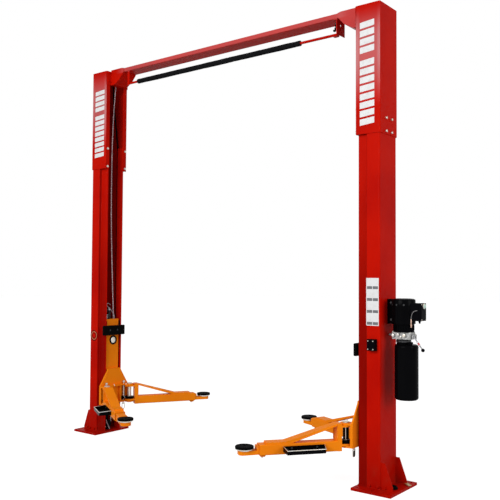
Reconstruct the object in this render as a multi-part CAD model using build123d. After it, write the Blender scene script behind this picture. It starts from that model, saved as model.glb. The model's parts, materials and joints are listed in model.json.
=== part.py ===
from build123d import *
import os
from math import cos, radians, sin

# Two post car lift, millimetres. X runs from the left column to the right one,
# +Y to the back, +Z up. The origin is on the floor, midway between the columns.

# Driving sizes
TOP_HEIGHT = 3700.0            # top of the column extensions
COLUMN_INNER = 1459.0          # column opening, from the middle of the bay
COLUMN_DEPTH = 199.0
COLUMN_HALF_WIDTH = 137.0      # flank beside the web
COLUMN_HALF_NECK = 110.0       # narrower flank beside the opening
NECK_DEPTH = 84.0
OPENING_HALF = 93.0
COLUMN_PLATE = 6.0
COLUMN_TOP = 2940.0
BEND_RADIUS = 10.0

EXTENSION_BOTTOM = 2695.0
EXTENSION_PLATE = 6.0
SLEEVE_GAP = 0.5
SPLICE_BOLT_RISES = (23.0, 205.0)   # above the foot of the extension
SPLICE_BAR_DEPTH = 22.0
SPLICE_BOLT_EDGE = 19.0
BOLT_RADIUS = 8.0
BOLT_HEAD_RADIUS = 11.5
BOLT_HEAD_HEIGHT = 9.0
BEAM_BOLT_DROPS = (100.0, 15.0)     # below the top of the extension

BASE_LIP = 1.0                 # base plate ahead of the column opening
BASE_HEEL = 129.0              # and behind the column
BASE_FLANGE = 86.0             # and beside it
BASE_PLATE = 20.0
ANCHOR_RADIUS = 11.0
ANCHOR_EDGE = 34.0
GUSSET_HEIGHT = 195.0
GUSSET_REACH = 95.0
GUSSET_TOP = 33.0
GUSSET_PLATE = 10.0
GUSSET_INSET = 19.0

BEAM_RISE = 8.0                # beam above the top of the extensions
BEAM_HEIGHT = 38.0
BEAM_HALF_WIDTH = 80.0
BEAM_PLATE = 5.0
BRACKET_PLATE = 6.0
BRACKET_RISE = 7.0             # bracket above the beam
BRACKET_REACH = 190.0
BRACKET_DROP = 140.0           # bracket foot below the top of the extension
BRACKET_KNEE = 130.0           # where its lower edge grows steeper
BRACKET_KNEE_DROP = 92.0
BRACKET_FOOT = 46.0

ROPE_RADIUS = 5.0
ROPE_OFFSET = 50.0
SHEAVE_RADIUS = 45.0
SHEAVE_WIDTH = 18.0
SHEAVE_SHAFT_RADIUS = 12.0
SHEAVE_REACH = 16.0            # sheave shaft behind the column opening
SHEAVE_CUT = 25.0              # cut-out in the beam's floor at the sheaves
ROPE_DEPTH = 18.0              # rope below the top of the beam
ROPE_BOW = 50.0                # slack of the hanging ropes, sideways
BASE_SHEAVE_RADIUS = 40.0
BASE_SHEAVE_LEVEL = 80.0

CYLINDER_REACH = 113.0         # cylinder behind the column opening
CYLINDER_RADIUS = 32.0
CYLINDER_TOP = 1050.0
ROD_RADIUS = 22.0
ROLLER_LEVEL = 1240.0
ROLLER_RADIUS = 40.0
CHAIN_WIDTH = 24.0
CHAIN_THICKNESS = 10.0

POST_HALF_WIDTH = 79.0
POST_RECESS = 21.0             # post face behind the column opening
POST_PLATE = 8.0
POST_DEPTH = 120.0
POST_TOP = 1152.0
HOUSING_BOTTOM = 300.0
HOUSING_TOP = 484.0
HOUSING_HALF_WIDTH = 183.0
HOUSING_BACK_GAP = 7.0         # housing ahead of the column opening
HOUSING_BACK_PLATE = 12.0
FLARE_TOP = 647.0
EAR_PLATE = 14.0
EAR_RADIUS = 44.0
SIDE_RIM = 10.0
CROSS_PLATE_LEVEL = 330.0
CROSS_PLATE = 15.0

PIVOT_REACH = 65.0             # pins ahead of the housing's face
PIN_INSET = 33.0                # and inside its side
PIN_RADIUS = 20.0
PIN_FIT = 0.1
PIN_HEAD_RADIUS = 27.0
PIN_HEAD_HEIGHT = 8.0
FORK_GAP = 0.5                 # arm fork between the housing plates
GEAR_RADIUS = 44.0
GEAR_HEIGHT = 26.0
GEAR_TEETH = 24
RESTRAINT_SETBACK = 50.0       # restraint rod behind the pin
RESTRAINT_INSET = 35.0         # and nearer the middle
RESTRAINT_RADIUS = 8.0

TUBE_BOTTOM = 278.0
TUBE_HEIGHT = 78.0
TUBE_WIDTH = 96.0
TUBE_WALL = 6.0
TUBE_START = 63.0
TUBE_SETBACK = 106.0           # end of the tube behind the pad
ARM_POST_START = 50.0
ARM_POST_LENGTH = 34.0
ARM_POST_PLATE = 8.0
STRUT_END = 490.0
STRUT_PLATE = 14.0
DOUBLER_SETBACK = 54.0         # doubler behind the end of the tube
SLIDER_GAP = 4.0
SLIDER_FLOOR_GAP = 0.5
SLIDER_WALL = 6.0
SLIDER_START = 92.0
SLIDER_SETBACK = 88.0          # inner arm grows thinner behind the pad
REACH = 800.0                  # pivot to pad with the arm pushed in
TIP_HEIGHT = 29.0
TIP_RADIUS = 48.0
PAD_RADIUS = 70.0
PAD_TOP = 348.0
PAD_RUBBER = 19.0
PAD_DISH = 7.0
PAD_SOCKET_RADIUS = 50.0

TRAY_START = 188.0
TRAY_END = 515.0
TRAY_REACH = 112.0
TRAY_TOP = 338.0
TRAY_RIM = 328.0               # its outer wall is lower
TRAY_DEPTH = 40.0
TRAY_WALL = 3.0

# swing from the line across the bay, and how far the arm is pulled out, at rest
ARMS = {
    "left_rear": (-1, 1, 58.0, 0.0),
    "left_front": (-1, -1, 31.0, 145.0),
    "right_front": (1, -1, 52.0, 0.0),
    "right_rear": (1, 1, 23.5, 10.0),
}

ROPE_LUG_TOP = 1146.0
BLOCK_LEVELS = (440.0, 1010.0)
BLOCK_HEIGHT = 120.0
GUIDE_GAP = 1.0
RESTRAINT_BOTTOM = 272.0
RESTRAINT_LOOP_HEIGHT = 66.0
RESTRAINT_LOOP_WIDTH = 34.0
RESTRAINT_WIRE = 3.5
RESTRAINT_TOP = 512.0

CYLINDER_BORE = 27.0
PORT_LEVEL = 80.0
PORT_RISE = 30.0
PORT_REACH = 18.0
PORT_GAP = 16.0                 # middle of the port beside the edge of the chain
ROD_BOTTOM = 160.0

BUMPER_BOTTOM = 990.0
BUMPER_TOP = 1089.0
BUMPER_HALF_LENGTH = 140.0
BUMPER_THICKNESS = 30.0

BAR_RADIUS = 11.0
FOAM_RADIUS = 24.0
BAR_DROP = 162.0               # bar below the top of the beam
BAR_Y = -56.0
BAR_LEFT_END = 262.0           # bar ends, from the column openings
BAR_RIGHT_END = 223.0
FOAM_LEFT_END = 384.0
FOAM_RIGHT_END = 574.0
BAR_PIN_RADIUS = 5.0
SWITCH_PLATE = 6.0
SWITCH_PLATE_HALF = 62.0
SWITCH_ROLLER_RISE = 42.0

TANK_REACH = 150.0             # tank, motor and manifold behind the column
TANK_RADIUS = 88.0
TANK_BOTTOM = 685.0
TANK_TOP = 1096.0
TANK_NECK_RADIUS = 54.0
MOTOR_REACH = 128.0
MOTOR_RADIUS = 79.0
MOTOR_STEP = 1250.0
FAN_COVER_RADIUS = 88.0
MANIFOLD_BOTTOM = 1135.0
MANIFOLD_TOP = 1187.0
MOTOR_TOP = 1438.0
MANIFOLD_REACH = 45.0
MANIFOLD_LENGTH = 160.0
BOX_BOTTOM = 1275.0
BOX_TOP = 1406.0
BOX_HALF_WIDTH = 45.0
BOX_REACH = 290.0
BUTTON_RADIUS = 16.0
BUTTON_LEVEL = 1384.0
LEVER_GAP = 16.0               # lever pivot beyond the manifold
LEVER_Y = -30.0
LEVER_LEVEL = 1160.0
LEVER_RUN = 76.0
LEVER_DROP = 97.0
HOSE_RADIUS = 8.0
HOSE_BEND = 50.0                # bends of the hose, on its centre line
HOSE_DROPS = (215.0, 705.0)     # its corners below the shafts of the top sheaves
HOSE_RISES = (420.0, 230.0, 80.0)   # and above the port

LOCK_COVER_BOTTOM = 1046.0
LOCK_COVER_TOP = 1132.0
LOCK_COVER_EDGES = (89.0, 23.0)     # ahead of the column's web
LOCK_COVER_DEPTH = 45.0

# Worked out from them
COLUMN_OUTER = COLUMN_INNER + COLUMN_DEPTH
PIVOT_Y = HOUSING_HALF_WIDTH - PIN_INSET
RESTRAINT_Y = PIVOT_Y - RESTRAINT_INSET
TUBE_END = REACH - TUBE_SETBACK
DOUBLER_END = TUBE_END - DOUBLER_SETBACK
SLIDER_STEP = REACH - SLIDER_SETBACK
BASE_INNER = COLUMN_INNER - BASE_LIP
BASE_OUTER = COLUMN_OUTER + BASE_HEEL
BASE_HALF_WIDTH = COLUMN_HALF_WIDTH + BASE_FLANGE
GUSSET_OFFSET = COLUMN_HALF_WIDTH - GUSSET_INSET
SPLICE_BOLT_Y = COLUMN_HALF_WIDTH - SPLICE_BOLT_EDGE
SPLICE_BOLT_LEVELS = tuple(EXTENSION_BOTTOM + rise for rise in SPLICE_BOLT_RISES)
BEAM_BOLT_LEVELS = tuple(TOP_HEIGHT - drop for drop in BEAM_BOLT_DROPS)
BEAM_TOP = TOP_HEIGHT + BEAM_RISE
BEAM_BOTTOM = BEAM_TOP - BEAM_HEIGHT
BRACKET_TOP = BEAM_TOP + BRACKET_RISE
BRACKET_BOTTOM = TOP_HEIGHT - BRACKET_DROP
SHEAVE_X = COLUMN_INNER + SHEAVE_REACH
SHEAVE_LEVEL = BEAM_TOP - ROPE_DEPTH - SHEAVE_RADIUS
CYLINDER_X = COLUMN_INNER + CYLINDER_REACH
PORT_X = CYLINDER_X + CYLINDER_RADIUS + PORT_REACH
PORT_Y = -(CHAIN_WIDTH / 2 + PORT_GAP)
POST_FACE = COLUMN_INNER + POST_RECESS
HOUSING_BACK = COLUMN_INNER - HOUSING_BACK_GAP
HOUSING_FACE = HOUSING_BACK - HOUSING_BACK_PLATE
PIVOT_X = HOUSING_FACE - PIVOT_REACH
RESTRAINT_X = PIVOT_X + RESTRAINT_SETBACK
ROPE_X = SHEAVE_X + SHEAVE_RADIUS
SLEEVE_OUTER = COLUMN_HALF_WIDTH + SLEEVE_GAP + EXTENSION_PLATE
SLEEVE_INNER_X = COLUMN_INNER - SLEEVE_GAP - EXTENSION_PLATE
SLEEVE_OUTER_X = COLUMN_OUTER + SLEEVE_GAP + EXTENSION_PLATE
BASE_SHEAVE_Y = ROPE_OFFSET - BASE_SHEAVE_RADIUS
TAIL_Y = ROPE_OFFSET - 2 * BASE_SHEAVE_RADIUS
BAR_LEVEL = BEAM_TOP - BAR_DROP
BAR_LEFT = -COLUMN_INNER + BAR_LEFT_END
BAR_RIGHT = COLUMN_INNER - BAR_RIGHT_END
FOAM_LEFT = -COLUMN_INNER + FOAM_LEFT_END
FOAM_RIGHT = COLUMN_INNER - FOAM_RIGHT_END
TANK_X = COLUMN_OUTER + TANK_REACH
MOTOR_X = COLUMN_OUTER + MOTOR_REACH
MANIFOLD_LEFT = COLUMN_OUTER + MANIFOLD_REACH
MANIFOLD_RIGHT = MANIFOLD_LEFT + MANIFOLD_LENGTH
LEVER_X = MANIFOLD_RIGHT + LEVER_GAP
BOX_RIGHT = COLUMN_OUTER + BOX_REACH

made = {}


def keep(name, *shapes):
    solids = []
    for shape in shapes:
        solids += list(shape.solids())
    made[name] = solids[0] if len(solids) == 1 else Compound(children=solids)


def block(x0, x1, y0, y1, z0, z1):
    return Pos((x0 + x1) / 2, (y0 + y1) / 2, (z0 + z1) / 2) * Box(x1 - x0, y1 - y0, z1 - z0)


def rod(x, y, z0, z1, radius):
    return Pos(x, y, (z0 + z1) / 2) * Cylinder(radius, z1 - z0)


def rod_x(x0, x1, y, z, radius):
    return Pos((x0 + x1) / 2, y, z) * Rot(0, 90, 0) * Cylinder(radius, x1 - x0)


def rod_y(x, y0, y1, z, radius):
    return Pos(x, (y0 + y1) / 2, z) * Rot(90, 0, 0) * Cylinder(radius, y1 - y0)


def plate_xz(points, y0, y1):
    face = Plane.XZ * make_face(Polyline(*points, close=True))
    return Pos(0, y1, 0) * extrude(face, y1 - y0)


def plate_yz(points, x0, x1):
    face = Plane.YZ * make_face(Polyline(*points, close=True))
    return Pos(x0, 0, 0) * extrude(face, x1 - x0)


def plate_xy(points, z0, z1):
    face = make_face(Polyline(*points, close=True))
    return Pos(0, 0, z0) * extrude(face, z1 - z0)


def both(shape):
    """The right side's piece, and the left side's: the same one turned half round."""
    return shape, Rot(0, 0, 180) * shape


def keep_both(name, shape):
    for side, piece in zip(("right", "left"), both(shape)):
        keep(side + "_" + name, piece)


# Columns
def channel(x0, x1, neck_x, neck, flank, inset, z0, z1):
    points = [(x0, -neck), (neck_x, -neck), (neck_x, -flank), (x1, -flank)]
    points += [(x, -y) for x, y in reversed(points)]
    if inset:
        points = [
            (x0 + inset, -neck + inset), (neck_x + inset, -neck + inset),
            (neck_x + inset, -flank + inset), (x1 - inset, -flank + inset),
        ]
        points += [(x, -y) for x, y in reversed(points)]
    return plate_xy(points, z0, z1)


def column():
    neck_x = COLUMN_INNER + NECK_DEPTH
    outer = channel(COLUMN_INNER, COLUMN_OUTER, neck_x, COLUMN_HALF_NECK, COLUMN_HALF_WIDTH,
                    0, BASE_PLATE, COLUMN_TOP)
    outer = fillet(outer.edges().filter_by(Axis.Z), BEND_RADIUS)
    inner = channel(COLUMN_INNER, COLUMN_OUTER, neck_x, COLUMN_HALF_NECK, COLUMN_HALF_WIDTH,
                    COLUMN_PLATE, BASE_PLATE, COLUMN_TOP)
    inner = fillet(inner.edges().filter_by(Axis.Z), BEND_RADIUS - COLUMN_PLATE)
    slot = block(COLUMN_INNER - 1, COLUMN_INNER + 2 * COLUMN_PLATE, -OPENING_HALF, OPENING_HALF,
                 BASE_PLATE, COLUMN_TOP)
    return outer - inner - slot


def extension():
    outer = block(SLEEVE_INNER_X, SLEEVE_OUTER_X, -SLEEVE_OUTER, SLEEVE_OUTER,
                  EXTENSION_BOTTOM, TOP_HEIGHT)
    outer = fillet(outer.edges().filter_by(Axis.Z), BEND_RADIUS)
    wall = EXTENSION_PLATE
    inner = block(SLEEVE_INNER_X + wall, SLEEVE_OUTER_X - wall, -SLEEVE_OUTER + wall,
                  SLEEVE_OUTER - wall, EXTENSION_BOTTOM, TOP_HEIGHT)
    slot = block(SLEEVE_INNER_X - 1, SLEEVE_INNER_X + 2 * wall, -OPENING_HALF, OPENING_HALF,
                 EXTENSION_BOTTOM, TOP_HEIGHT)
    body = outer - inner - slot
    for level in SPLICE_BOLT_LEVELS + BEAM_BOLT_LEVELS:
        for side in (-1, 1):
            body -= rod_x(SLEEVE_INNER_X - 1, SLEEVE_INNER_X + wall + 1, side * SPLICE_BOLT_Y,
                          level, BOLT_RADIUS + 0.2)
    return body


def base_plate():
    plate = block(BASE_INNER, BASE_OUTER, -BASE_HALF_WIDTH, BASE_HALF_WIDTH, 0, BASE_PLATE)
    for x, y in anchor_places():
        plate -= rod(x, y, -1, BASE_PLATE + 1, ANCHOR_RADIUS)
    for side in (-1, 1):
        y = side * GUSSET_OFFSET
        points = [
            (COLUMN_OUTER, BASE_PLATE), (COLUMN_OUTER + GUSSET_REACH, BASE_PLATE),
            (COLUMN_OUTER + GUSSET_REACH, BASE_PLATE + 25),
            (COLUMN_OUTER + GUSSET_TOP, BASE_PLATE + GUSSET_HEIGHT), (COLUMN_OUTER, BASE_PLATE + GUSSET_HEIGHT),
        ]
        plate += plate_xz(points, y - GUSSET_PLATE / 2, y + GUSSET_PLATE / 2)
    return plate


def anchor_places():
    x0 = BASE_INNER + ANCHOR_EDGE
    x1 = BASE_OUTER - ANCHOR_EDGE
    y = BASE_HALF_WIDTH - ANCHOR_EDGE
    return [(x, side * y) for x in (x0, (x0 + x1) / 2, x1) for side in (-1, 1)]


def splice():
    parts = []
    for side in (-1, 1):
        y = side * SPLICE_BOLT_Y
        y0, y1 = sorted((side * COLUMN_HALF_NECK, side * COLUMN_HALF_WIDTH))
        bar = block(COLUMN_INNER + BEND_RADIUS, COLUMN_INNER + BEND_RADIUS + SPLICE_BAR_DEPTH,
                    y0, y1, EXTENSION_BOTTOM + 5, COLUMN_TOP - 5)
        for level in SPLICE_BOLT_LEVELS:
            bar += rod_x(SLEEVE_INNER_X, COLUMN_INNER + BEND_RADIUS + 2, y, level, BOLT_RADIUS)
            bar += rod_x(SLEEVE_INNER_X - BOLT_HEAD_HEIGHT, SLEEVE_INNER_X, y, level,
                         BOLT_HEAD_RADIUS)
        parts.append(bar)
    return parts


keep_both("base_plate", base_plate())
keep_both("column", column())
keep_both("extension", extension())
splices = []
for bar in splice():
    splices += list(both(bar))
keep("splice_bolts", *splices)


# Beam
def beam():
    """A trough that is open at the top, with the ropes inside it."""
    half = SLEEVE_INNER_X - BRACKET_PLATE
    outer = block(-half, half, -BEAM_HALF_WIDTH, BEAM_HALF_WIDTH, BEAM_BOTTOM, BEAM_TOP)
    outer = fillet(outer.edges().filter_by(Axis.X).group_by(Axis.Z)[0], BEND_RADIUS)
    inner = block(-half, half, -BEAM_HALF_WIDTH + BEAM_PLATE, BEAM_HALF_WIDTH - BEAM_PLATE,
                  BEAM_BOTTOM + BEAM_PLATE, BEAM_TOP)
    inner = fillet(inner.edges().filter_by(Axis.X).group_by(Axis.Z)[0], BEND_RADIUS - BEAM_PLATE)
    window = BEAM_HALF_WIDTH - 15
    body = outer - inner
    for x0, x1 in ((-half - 1, -half + SHEAVE_CUT), (half - SHEAVE_CUT, half + 1)):
        body -= block(x0, x1, -window, window, BEAM_BOTTOM - 1, BEAM_BOTTOM + BEAM_PLATE + 1)
    return body


def beam_bracket():
    face = SLEEVE_INNER_X
    back = face - BRACKET_PLATE
    end = block(back, face, -SLEEVE_OUTER + BEND_RADIUS, SLEEVE_OUTER - BEND_RADIUS,
                BRACKET_BOTTOM, TOP_HEIGHT)
    window = BEAM_HALF_WIDTH - 15
    end -= block(back - 1, face + 1, -window, window, BRACKET_BOTTOM + 20, TOP_HEIGHT + 1)
    nose = back - BRACKET_REACH
    knee = back - BRACKET_KNEE
    foot = back - BRACKET_FOOT
    points = [
        (back, BRACKET_TOP), (nose + 30, BRACKET_TOP), (nose, BEAM_TOP),
        (nose + 6, BEAM_BOTTOM), (knee, TOP_HEIGHT - BRACKET_KNEE_DROP),
        (foot, BRACKET_BOTTOM), (back, BRACKET_BOTTOM),
    ]
    body = end
    for side in (-1, 1):
        y0 = side * BEAM_HALF_WIDTH
        y1 = side * (BEAM_HALF_WIDTH + BRACKET_PLATE)
        body += plate_xz(points, min(y0, y1), max(y0, y1))
    slope = [
        (nose + 6, BEAM_BOTTOM), (knee, TOP_HEIGHT - BRACKET_KNEE_DROP), (foot, BRACKET_BOTTOM),
        (foot, BRACKET_BOTTOM + 8), (knee + 4, TOP_HEIGHT - BRACKET_KNEE_DROP + 8),
        (nose + 18, BEAM_BOTTOM),
    ]
    body += plate_xz(slope, -BEAM_HALF_WIDTH, BEAM_HALF_WIDTH)
    body += block(foot, back, -BEAM_HALF_WIDTH, BEAM_HALF_WIDTH, BRACKET_BOTTOM, BRACKET_BOTTOM + 8)
    for level in BEAM_BOLT_LEVELS:
        for side in (-1, 1):
            y = side * SPLICE_BOLT_Y
            body += rod_x(back - BOLT_HEAD_HEIGHT, back, y, level, BOLT_HEAD_RADIUS)
            body += rod_x(back, face + EXTENSION_PLATE, y, level, BOLT_RADIUS)
            body += rod_x(face + EXTENSION_PLATE, face + EXTENSION_PLATE + BOLT_HEAD_HEIGHT, y,
                          level, BOLT_HEAD_RADIUS)
    return body


keep("crossbeam", beam())
keep("beam_brackets", *both(beam_bracket()))


# Ropes and sheaves
def top_sheaves():
    inner = SLEEVE_OUTER - EXTENSION_PLATE
    body = rod_y(SHEAVE_X, -inner, inner, SHEAVE_LEVEL, SHEAVE_SHAFT_RADIUS)
    for side in (-1, 1):
        y = side * ROPE_OFFSET
        wheel = rod_y(SHEAVE_X, y - SHEAVE_WIDTH / 2, y + SHEAVE_WIDTH / 2, SHEAVE_LEVEL,
                      SHEAVE_RADIUS)
        groove = Pos(SHEAVE_X, y, SHEAVE_LEVEL) * Rot(90, 0, 0) * Torus(SHEAVE_RADIUS, ROPE_RADIUS + 0.2)
        body += wheel - groove
    return body


def base_sheave():
    wheel = rod_x(ROPE_X - 8, ROPE_X + 8, BASE_SHEAVE_Y, BASE_SHEAVE_LEVEL, BASE_SHEAVE_RADIUS)
    wheel -= (Pos(ROPE_X, BASE_SHEAVE_Y, BASE_SHEAVE_LEVEL) * Rot(0, 90, 0)
              * Torus(BASE_SHEAVE_RADIUS, ROPE_RADIUS + 0.2))
    cheek = block(ROPE_X - 14, ROPE_X - 8, BASE_SHEAVE_Y - 20, BASE_SHEAVE_Y + 20,
                  BASE_PLATE, BASE_SHEAVE_LEVEL + 18)
    axle = rod_x(ROPE_X - 17, ROPE_X + 11, BASE_SHEAVE_Y, BASE_SHEAVE_LEVEL, 9)
    return wheel + cheek + axle


def swept(edges):
    wire = Wire(edges)
    section = Plane(origin=wire @ 0, z_dir=wire % 0) * Circle(ROPE_RADIUS)
    return sweep(section, path=wire)


def rope_across():
    """The rope that hangs the left carriage, from the left top sheave over the beam
    and down the right column, round its base sheave."""
    y = ROPE_OFFSET
    high = SHEAVE_LEVEL + SHEAVE_RADIUS
    lean = SHEAVE_RADIUS * sin(radians(45))
    low = BASE_SHEAVE_LEVEL
    return swept([
        ThreePointArc((-ROPE_X, y, SHEAVE_LEVEL), (-SHEAVE_X - lean, y, SHEAVE_LEVEL + lean),
                      (-SHEAVE_X, y, high)),
        Line((-SHEAVE_X, y, high), (SHEAVE_X, y, high)),
        ThreePointArc((SHEAVE_X, y, high), (SHEAVE_X + lean, y, SHEAVE_LEVEL + lean),
                      (ROPE_X, y, SHEAVE_LEVEL)),
        Line((ROPE_X, y, SHEAVE_LEVEL), (ROPE_X, y, low)),
        ThreePointArc((ROPE_X, y, low), (ROPE_X, BASE_SHEAVE_Y, low - BASE_SHEAVE_RADIUS),
                      (ROPE_X, TAIL_Y, low)),
    ])


def hanging_rope():
    """Slack between sheave and carriage, so that it bows towards the middle of the column."""
    top = SHEAVE_LEVEL
    low = ROPE_LUG_TOP
    y = -ROPE_OFFSET
    shares = ((0.0, 0.0), (0.08, 0.45), (0.22, 0.86), (0.42, 1.0), (0.62, 0.9), (0.82, 0.5), (1.0, 0.0))
    points = [(ROPE_X, y + ROPE_BOW * bow, top + (low - top) * way) for way, bow in shares]
    line = Spline(*points, tangents=[(0, 0, -1), (0, 0, -1)])
    return sweep(Plane(origin=line @ 0, z_dir=line % 0) * Circle(ROPE_RADIUS), path=line)


def hose():
    """The oil line from one cylinder up its column, through the beam and down to the other."""
    floor = BEAM_BOTTOM + BEAM_PLATE + HOSE_RADIUS + 1
    gap = HOSE_RADIUS + 6
    x = COLUMN_INNER + NECK_DEPTH + COLUMN_PLATE + gap
    y = -(COLUMN_HALF_WIDTH - COLUMN_PLATE - gap + 3)
    behind = COLUMN_OUTER - COLUMN_PLATE - gap - 2
    level = PORT_LEVEL + PORT_RISE
    corners = [
        (0, 0, floor), (SHEAVE_X + 66, -22, floor), (SHEAVE_X + 112, -76, SHEAVE_LEVEL - HOSE_DROPS[0]),
        (x, y, SHEAVE_LEVEL - HOSE_DROPS[1]), (x, y, level + HOSE_RISES[0]),
        (behind, y + 16, level + HOSE_RISES[1]), (PORT_X, PORT_Y, level + HOSE_RISES[2]),
        (PORT_X, PORT_Y, level),
    ]
    line = FilletPolyline(*corners, radius=HOSE_BEND)
    half = sweep(Plane(origin=line @ 0, z_dir=line % 0) * Circle(HOSE_RADIUS), path=line)
    return half + half.rotate(Axis.Z, 180)


keep("top_sheaves", *both(top_sheaves()))
keep("base_sheaves", *both(base_sheave()))
keep("ropes_across", *both(rope_across()))
keep("rope_tops", *both(hanging_rope()))
keep("rope_tails", *both(rod(ROPE_X, TAIL_Y, BASE_SHEAVE_LEVEL, CROSS_PLATE_LEVEL, ROPE_RADIUS)))


# Lifting cylinders
def cylinder():
    gland = 30.0
    foot = 15.0
    body = rod(CYLINDER_X, 0, BASE_PLATE, CYLINDER_TOP, CYLINDER_RADIUS)
    body += rod_x(CYLINDER_X, PORT_X, PORT_Y, PORT_LEVEL, 9)
    body += rod(PORT_X, PORT_Y, PORT_LEVEL - 9, PORT_LEVEL + PORT_RISE, 11)
    body -= rod(CYLINDER_X, 0, BASE_PLATE + foot, CYLINDER_TOP - gland, CYLINDER_BORE)
    return body - rod(CYLINDER_X, 0, CYLINDER_TOP - gland - 1, CYLINDER_TOP + 1, ROD_RADIUS + PIN_FIT)


def lifting_rod():
    piston = 20.0
    yoke_bottom = ROLLER_LEVEL - ROLLER_RADIUS - 15
    body = rod(CYLINDER_X, 0, ROD_BOTTOM, yoke_bottom, ROD_RADIUS)
    body += rod(CYLINDER_X, 0, ROD_BOTTOM, ROD_BOTTOM + piston, CYLINDER_BORE - PIN_FIT)
    body += block(CYLINDER_X - 18, CYLINDER_X + 18, -25, 25, yoke_bottom, yoke_bottom + 10)
    for side in (-1, 1):
        y0, y1 = sorted((side * (CHAIN_WIDTH / 2 + 3), side * 25))
        body += block(CYLINDER_X - 18, CYLINDER_X + 18, y0, y1, yoke_bottom, ROLLER_LEVEL + 18)
    body += rod_y(CYLINDER_X, -29, 29, ROLLER_LEVEL, 10)
    body += rod_y(CYLINDER_X, -CHAIN_WIDTH / 2 - 3, CHAIN_WIDTH / 2 + 3, ROLLER_LEVEL, ROLLER_RADIUS)
    return body


def chain_wrap():
    wrap = rod_y(CYLINDER_X, -CHAIN_WIDTH / 2, CHAIN_WIDTH / 2, ROLLER_LEVEL,
                 ROLLER_RADIUS + CHAIN_THICKNESS)
    wrap -= rod_y(CYLINDER_X, -CHAIN_WIDTH, CHAIN_WIDTH, ROLLER_LEVEL, ROLLER_RADIUS)
    half = ROLLER_RADIUS + CHAIN_THICKNESS + 1
    wrap -= block(CYLINDER_X - half, CYLINDER_X + half, -CHAIN_WIDTH, CHAIN_WIDTH,
                  ROLLER_LEVEL - half, ROLLER_LEVEL)
    return wrap


def chain_runs():
    near = CYLINDER_X - ROLLER_RADIUS - CHAIN_THICKNESS
    far = CYLINDER_X + ROLLER_RADIUS
    half = CHAIN_WIDTH / 2
    return [
        block(near, near + CHAIN_THICKNESS, -half, half, CROSS_PLATE_LEVEL + CROSS_PLATE, ROLLER_LEVEL),
        block(far, far + CHAIN_THICKNESS, -half, half, BASE_PLATE, ROLLER_LEVEL),
    ]


keep("cylinders", *both(cylinder()))
keep("oil_hose", hose())
for side, rods, wraps in zip(("right", "left"), both(lifting_rod()), both(chain_wrap())):
    keep(side + "_cylinder_rod", rods, wraps)
runs = []
for run in chain_runs():
    runs += both(run)
keep("chain_runs", *runs)


# Carriages
def housing_plate(z0):
    z1 = z0 + EAR_PLATE
    inner = PIVOT_Y - EAR_RADIUS
    body = block(PIVOT_X + 25, HOUSING_FACE, -inner, inner, z0, z1)
    for side in (-1, 1):
        y = side * PIVOT_Y
        body += plate_xy([
            (PIVOT_X, side * inner), (HOUSING_FACE, side * inner),
            (HOUSING_FACE, side * HOUSING_HALF_WIDTH), (PIVOT_X, side * (PIVOT_Y + EAR_RADIUS)),
        ], z0, z1)
        body += rod(PIVOT_X, y, z0, z1, EAR_RADIUS)
        body -= rod(PIVOT_X, y, z0 - 1, z1 + 1, PIN_RADIUS + PIN_FIT)
        body -= rod(RESTRAINT_X, side * RESTRAINT_Y, z0 - 1, z1 + 1, RESTRAINT_RADIUS + PIN_FIT)
    return body


def carriage():
    low = HOUSING_BOTTOM
    body = block(POST_FACE, POST_FACE + POST_PLATE, -POST_HALF_WIDTH, POST_HALF_WIDTH, low, POST_TOP)
    for side in (-1, 1):
        y0, y1 = sorted((side * (POST_HALF_WIDTH - POST_PLATE), side * POST_HALF_WIDTH))
        body += block(POST_FACE, POST_FACE + POST_DEPTH, y0, y1, low, POST_TOP)
        body += block(HOUSING_BACK, POST_FACE, y0, y1, low, FLARE_TOP)
        y0, y1 = sorted((side * (HOUSING_HALF_WIDTH - SIDE_RIM), side * HOUSING_HALF_WIDTH))
        body += block(HOUSING_FACE - SIDE_RIM, HOUSING_FACE, y0, y1, low, HOUSING_TOP)
        y0, y1 = sorted((side * 55.0, side * 65.0))
        body += block(PIVOT_X + 30, HOUSING_FACE, y0, y1, low, HOUSING_TOP)
    body += plate_yz([
        (-POST_HALF_WIDTH, FLARE_TOP), (POST_HALF_WIDTH, FLARE_TOP),
        (HOUSING_HALF_WIDTH, HOUSING_TOP), (HOUSING_HALF_WIDTH, low),
        (-HOUSING_HALF_WIDTH, low), (-HOUSING_HALF_WIDTH, HOUSING_TOP),
    ], HOUSING_FACE, HOUSING_BACK)
    body += block(HOUSING_FACE, POST_FACE, -POST_HALF_WIDTH, POST_HALF_WIDTH, FLARE_TOP - 8, FLARE_TOP)
    body += housing_plate(low)
    body += housing_plate(HOUSING_TOP - EAR_PLATE)
    cross = block(POST_FACE, CYLINDER_X - CYLINDER_RADIUS - 5, -POST_HALF_WIDTH, POST_HALF_WIDTH,
                  CROSS_PLATE_LEVEL, CROSS_PLATE_LEVEL + CROSS_PLATE)
    cross -= rod(ROPE_X, ROPE_OFFSET, CROSS_PLATE_LEVEL - 1, CROSS_PLATE_LEVEL + CROSS_PLATE + 1,
                 ROPE_RADIUS + 6)
    body += cross
    body += block(POST_FACE, ROPE_X + 14, -POST_HALF_WIDTH, -ROPE_OFFSET + 14,
                  ROPE_LUG_TOP - 12, ROPE_LUG_TOP)
    middle = (BUMPER_BOTTOM + BUMPER_TOP) / 2
    body += block(HOUSING_BACK, POST_FACE, -60, 60, middle - 35, middle + 35)
    return body


def slide_blocks():
    blocks = []
    guide = COLUMN_HALF_NECK - COLUMN_PLATE - GUIDE_GAP
    for z in BLOCK_LEVELS:
        for side in (-1, 1):
            y0, y1 = sorted((side * POST_HALF_WIDTH, side * guide))
            shoe = block(COLUMN_INNER + COLUMN_PLATE + GUIDE_GAP,
                         COLUMN_INNER + NECK_DEPTH - 3, y0, y1, z, z + BLOCK_HEIGHT)
            blocks.append(fillet(shoe.edges().filter_by(Axis.Z), 4))
    return blocks


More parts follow.
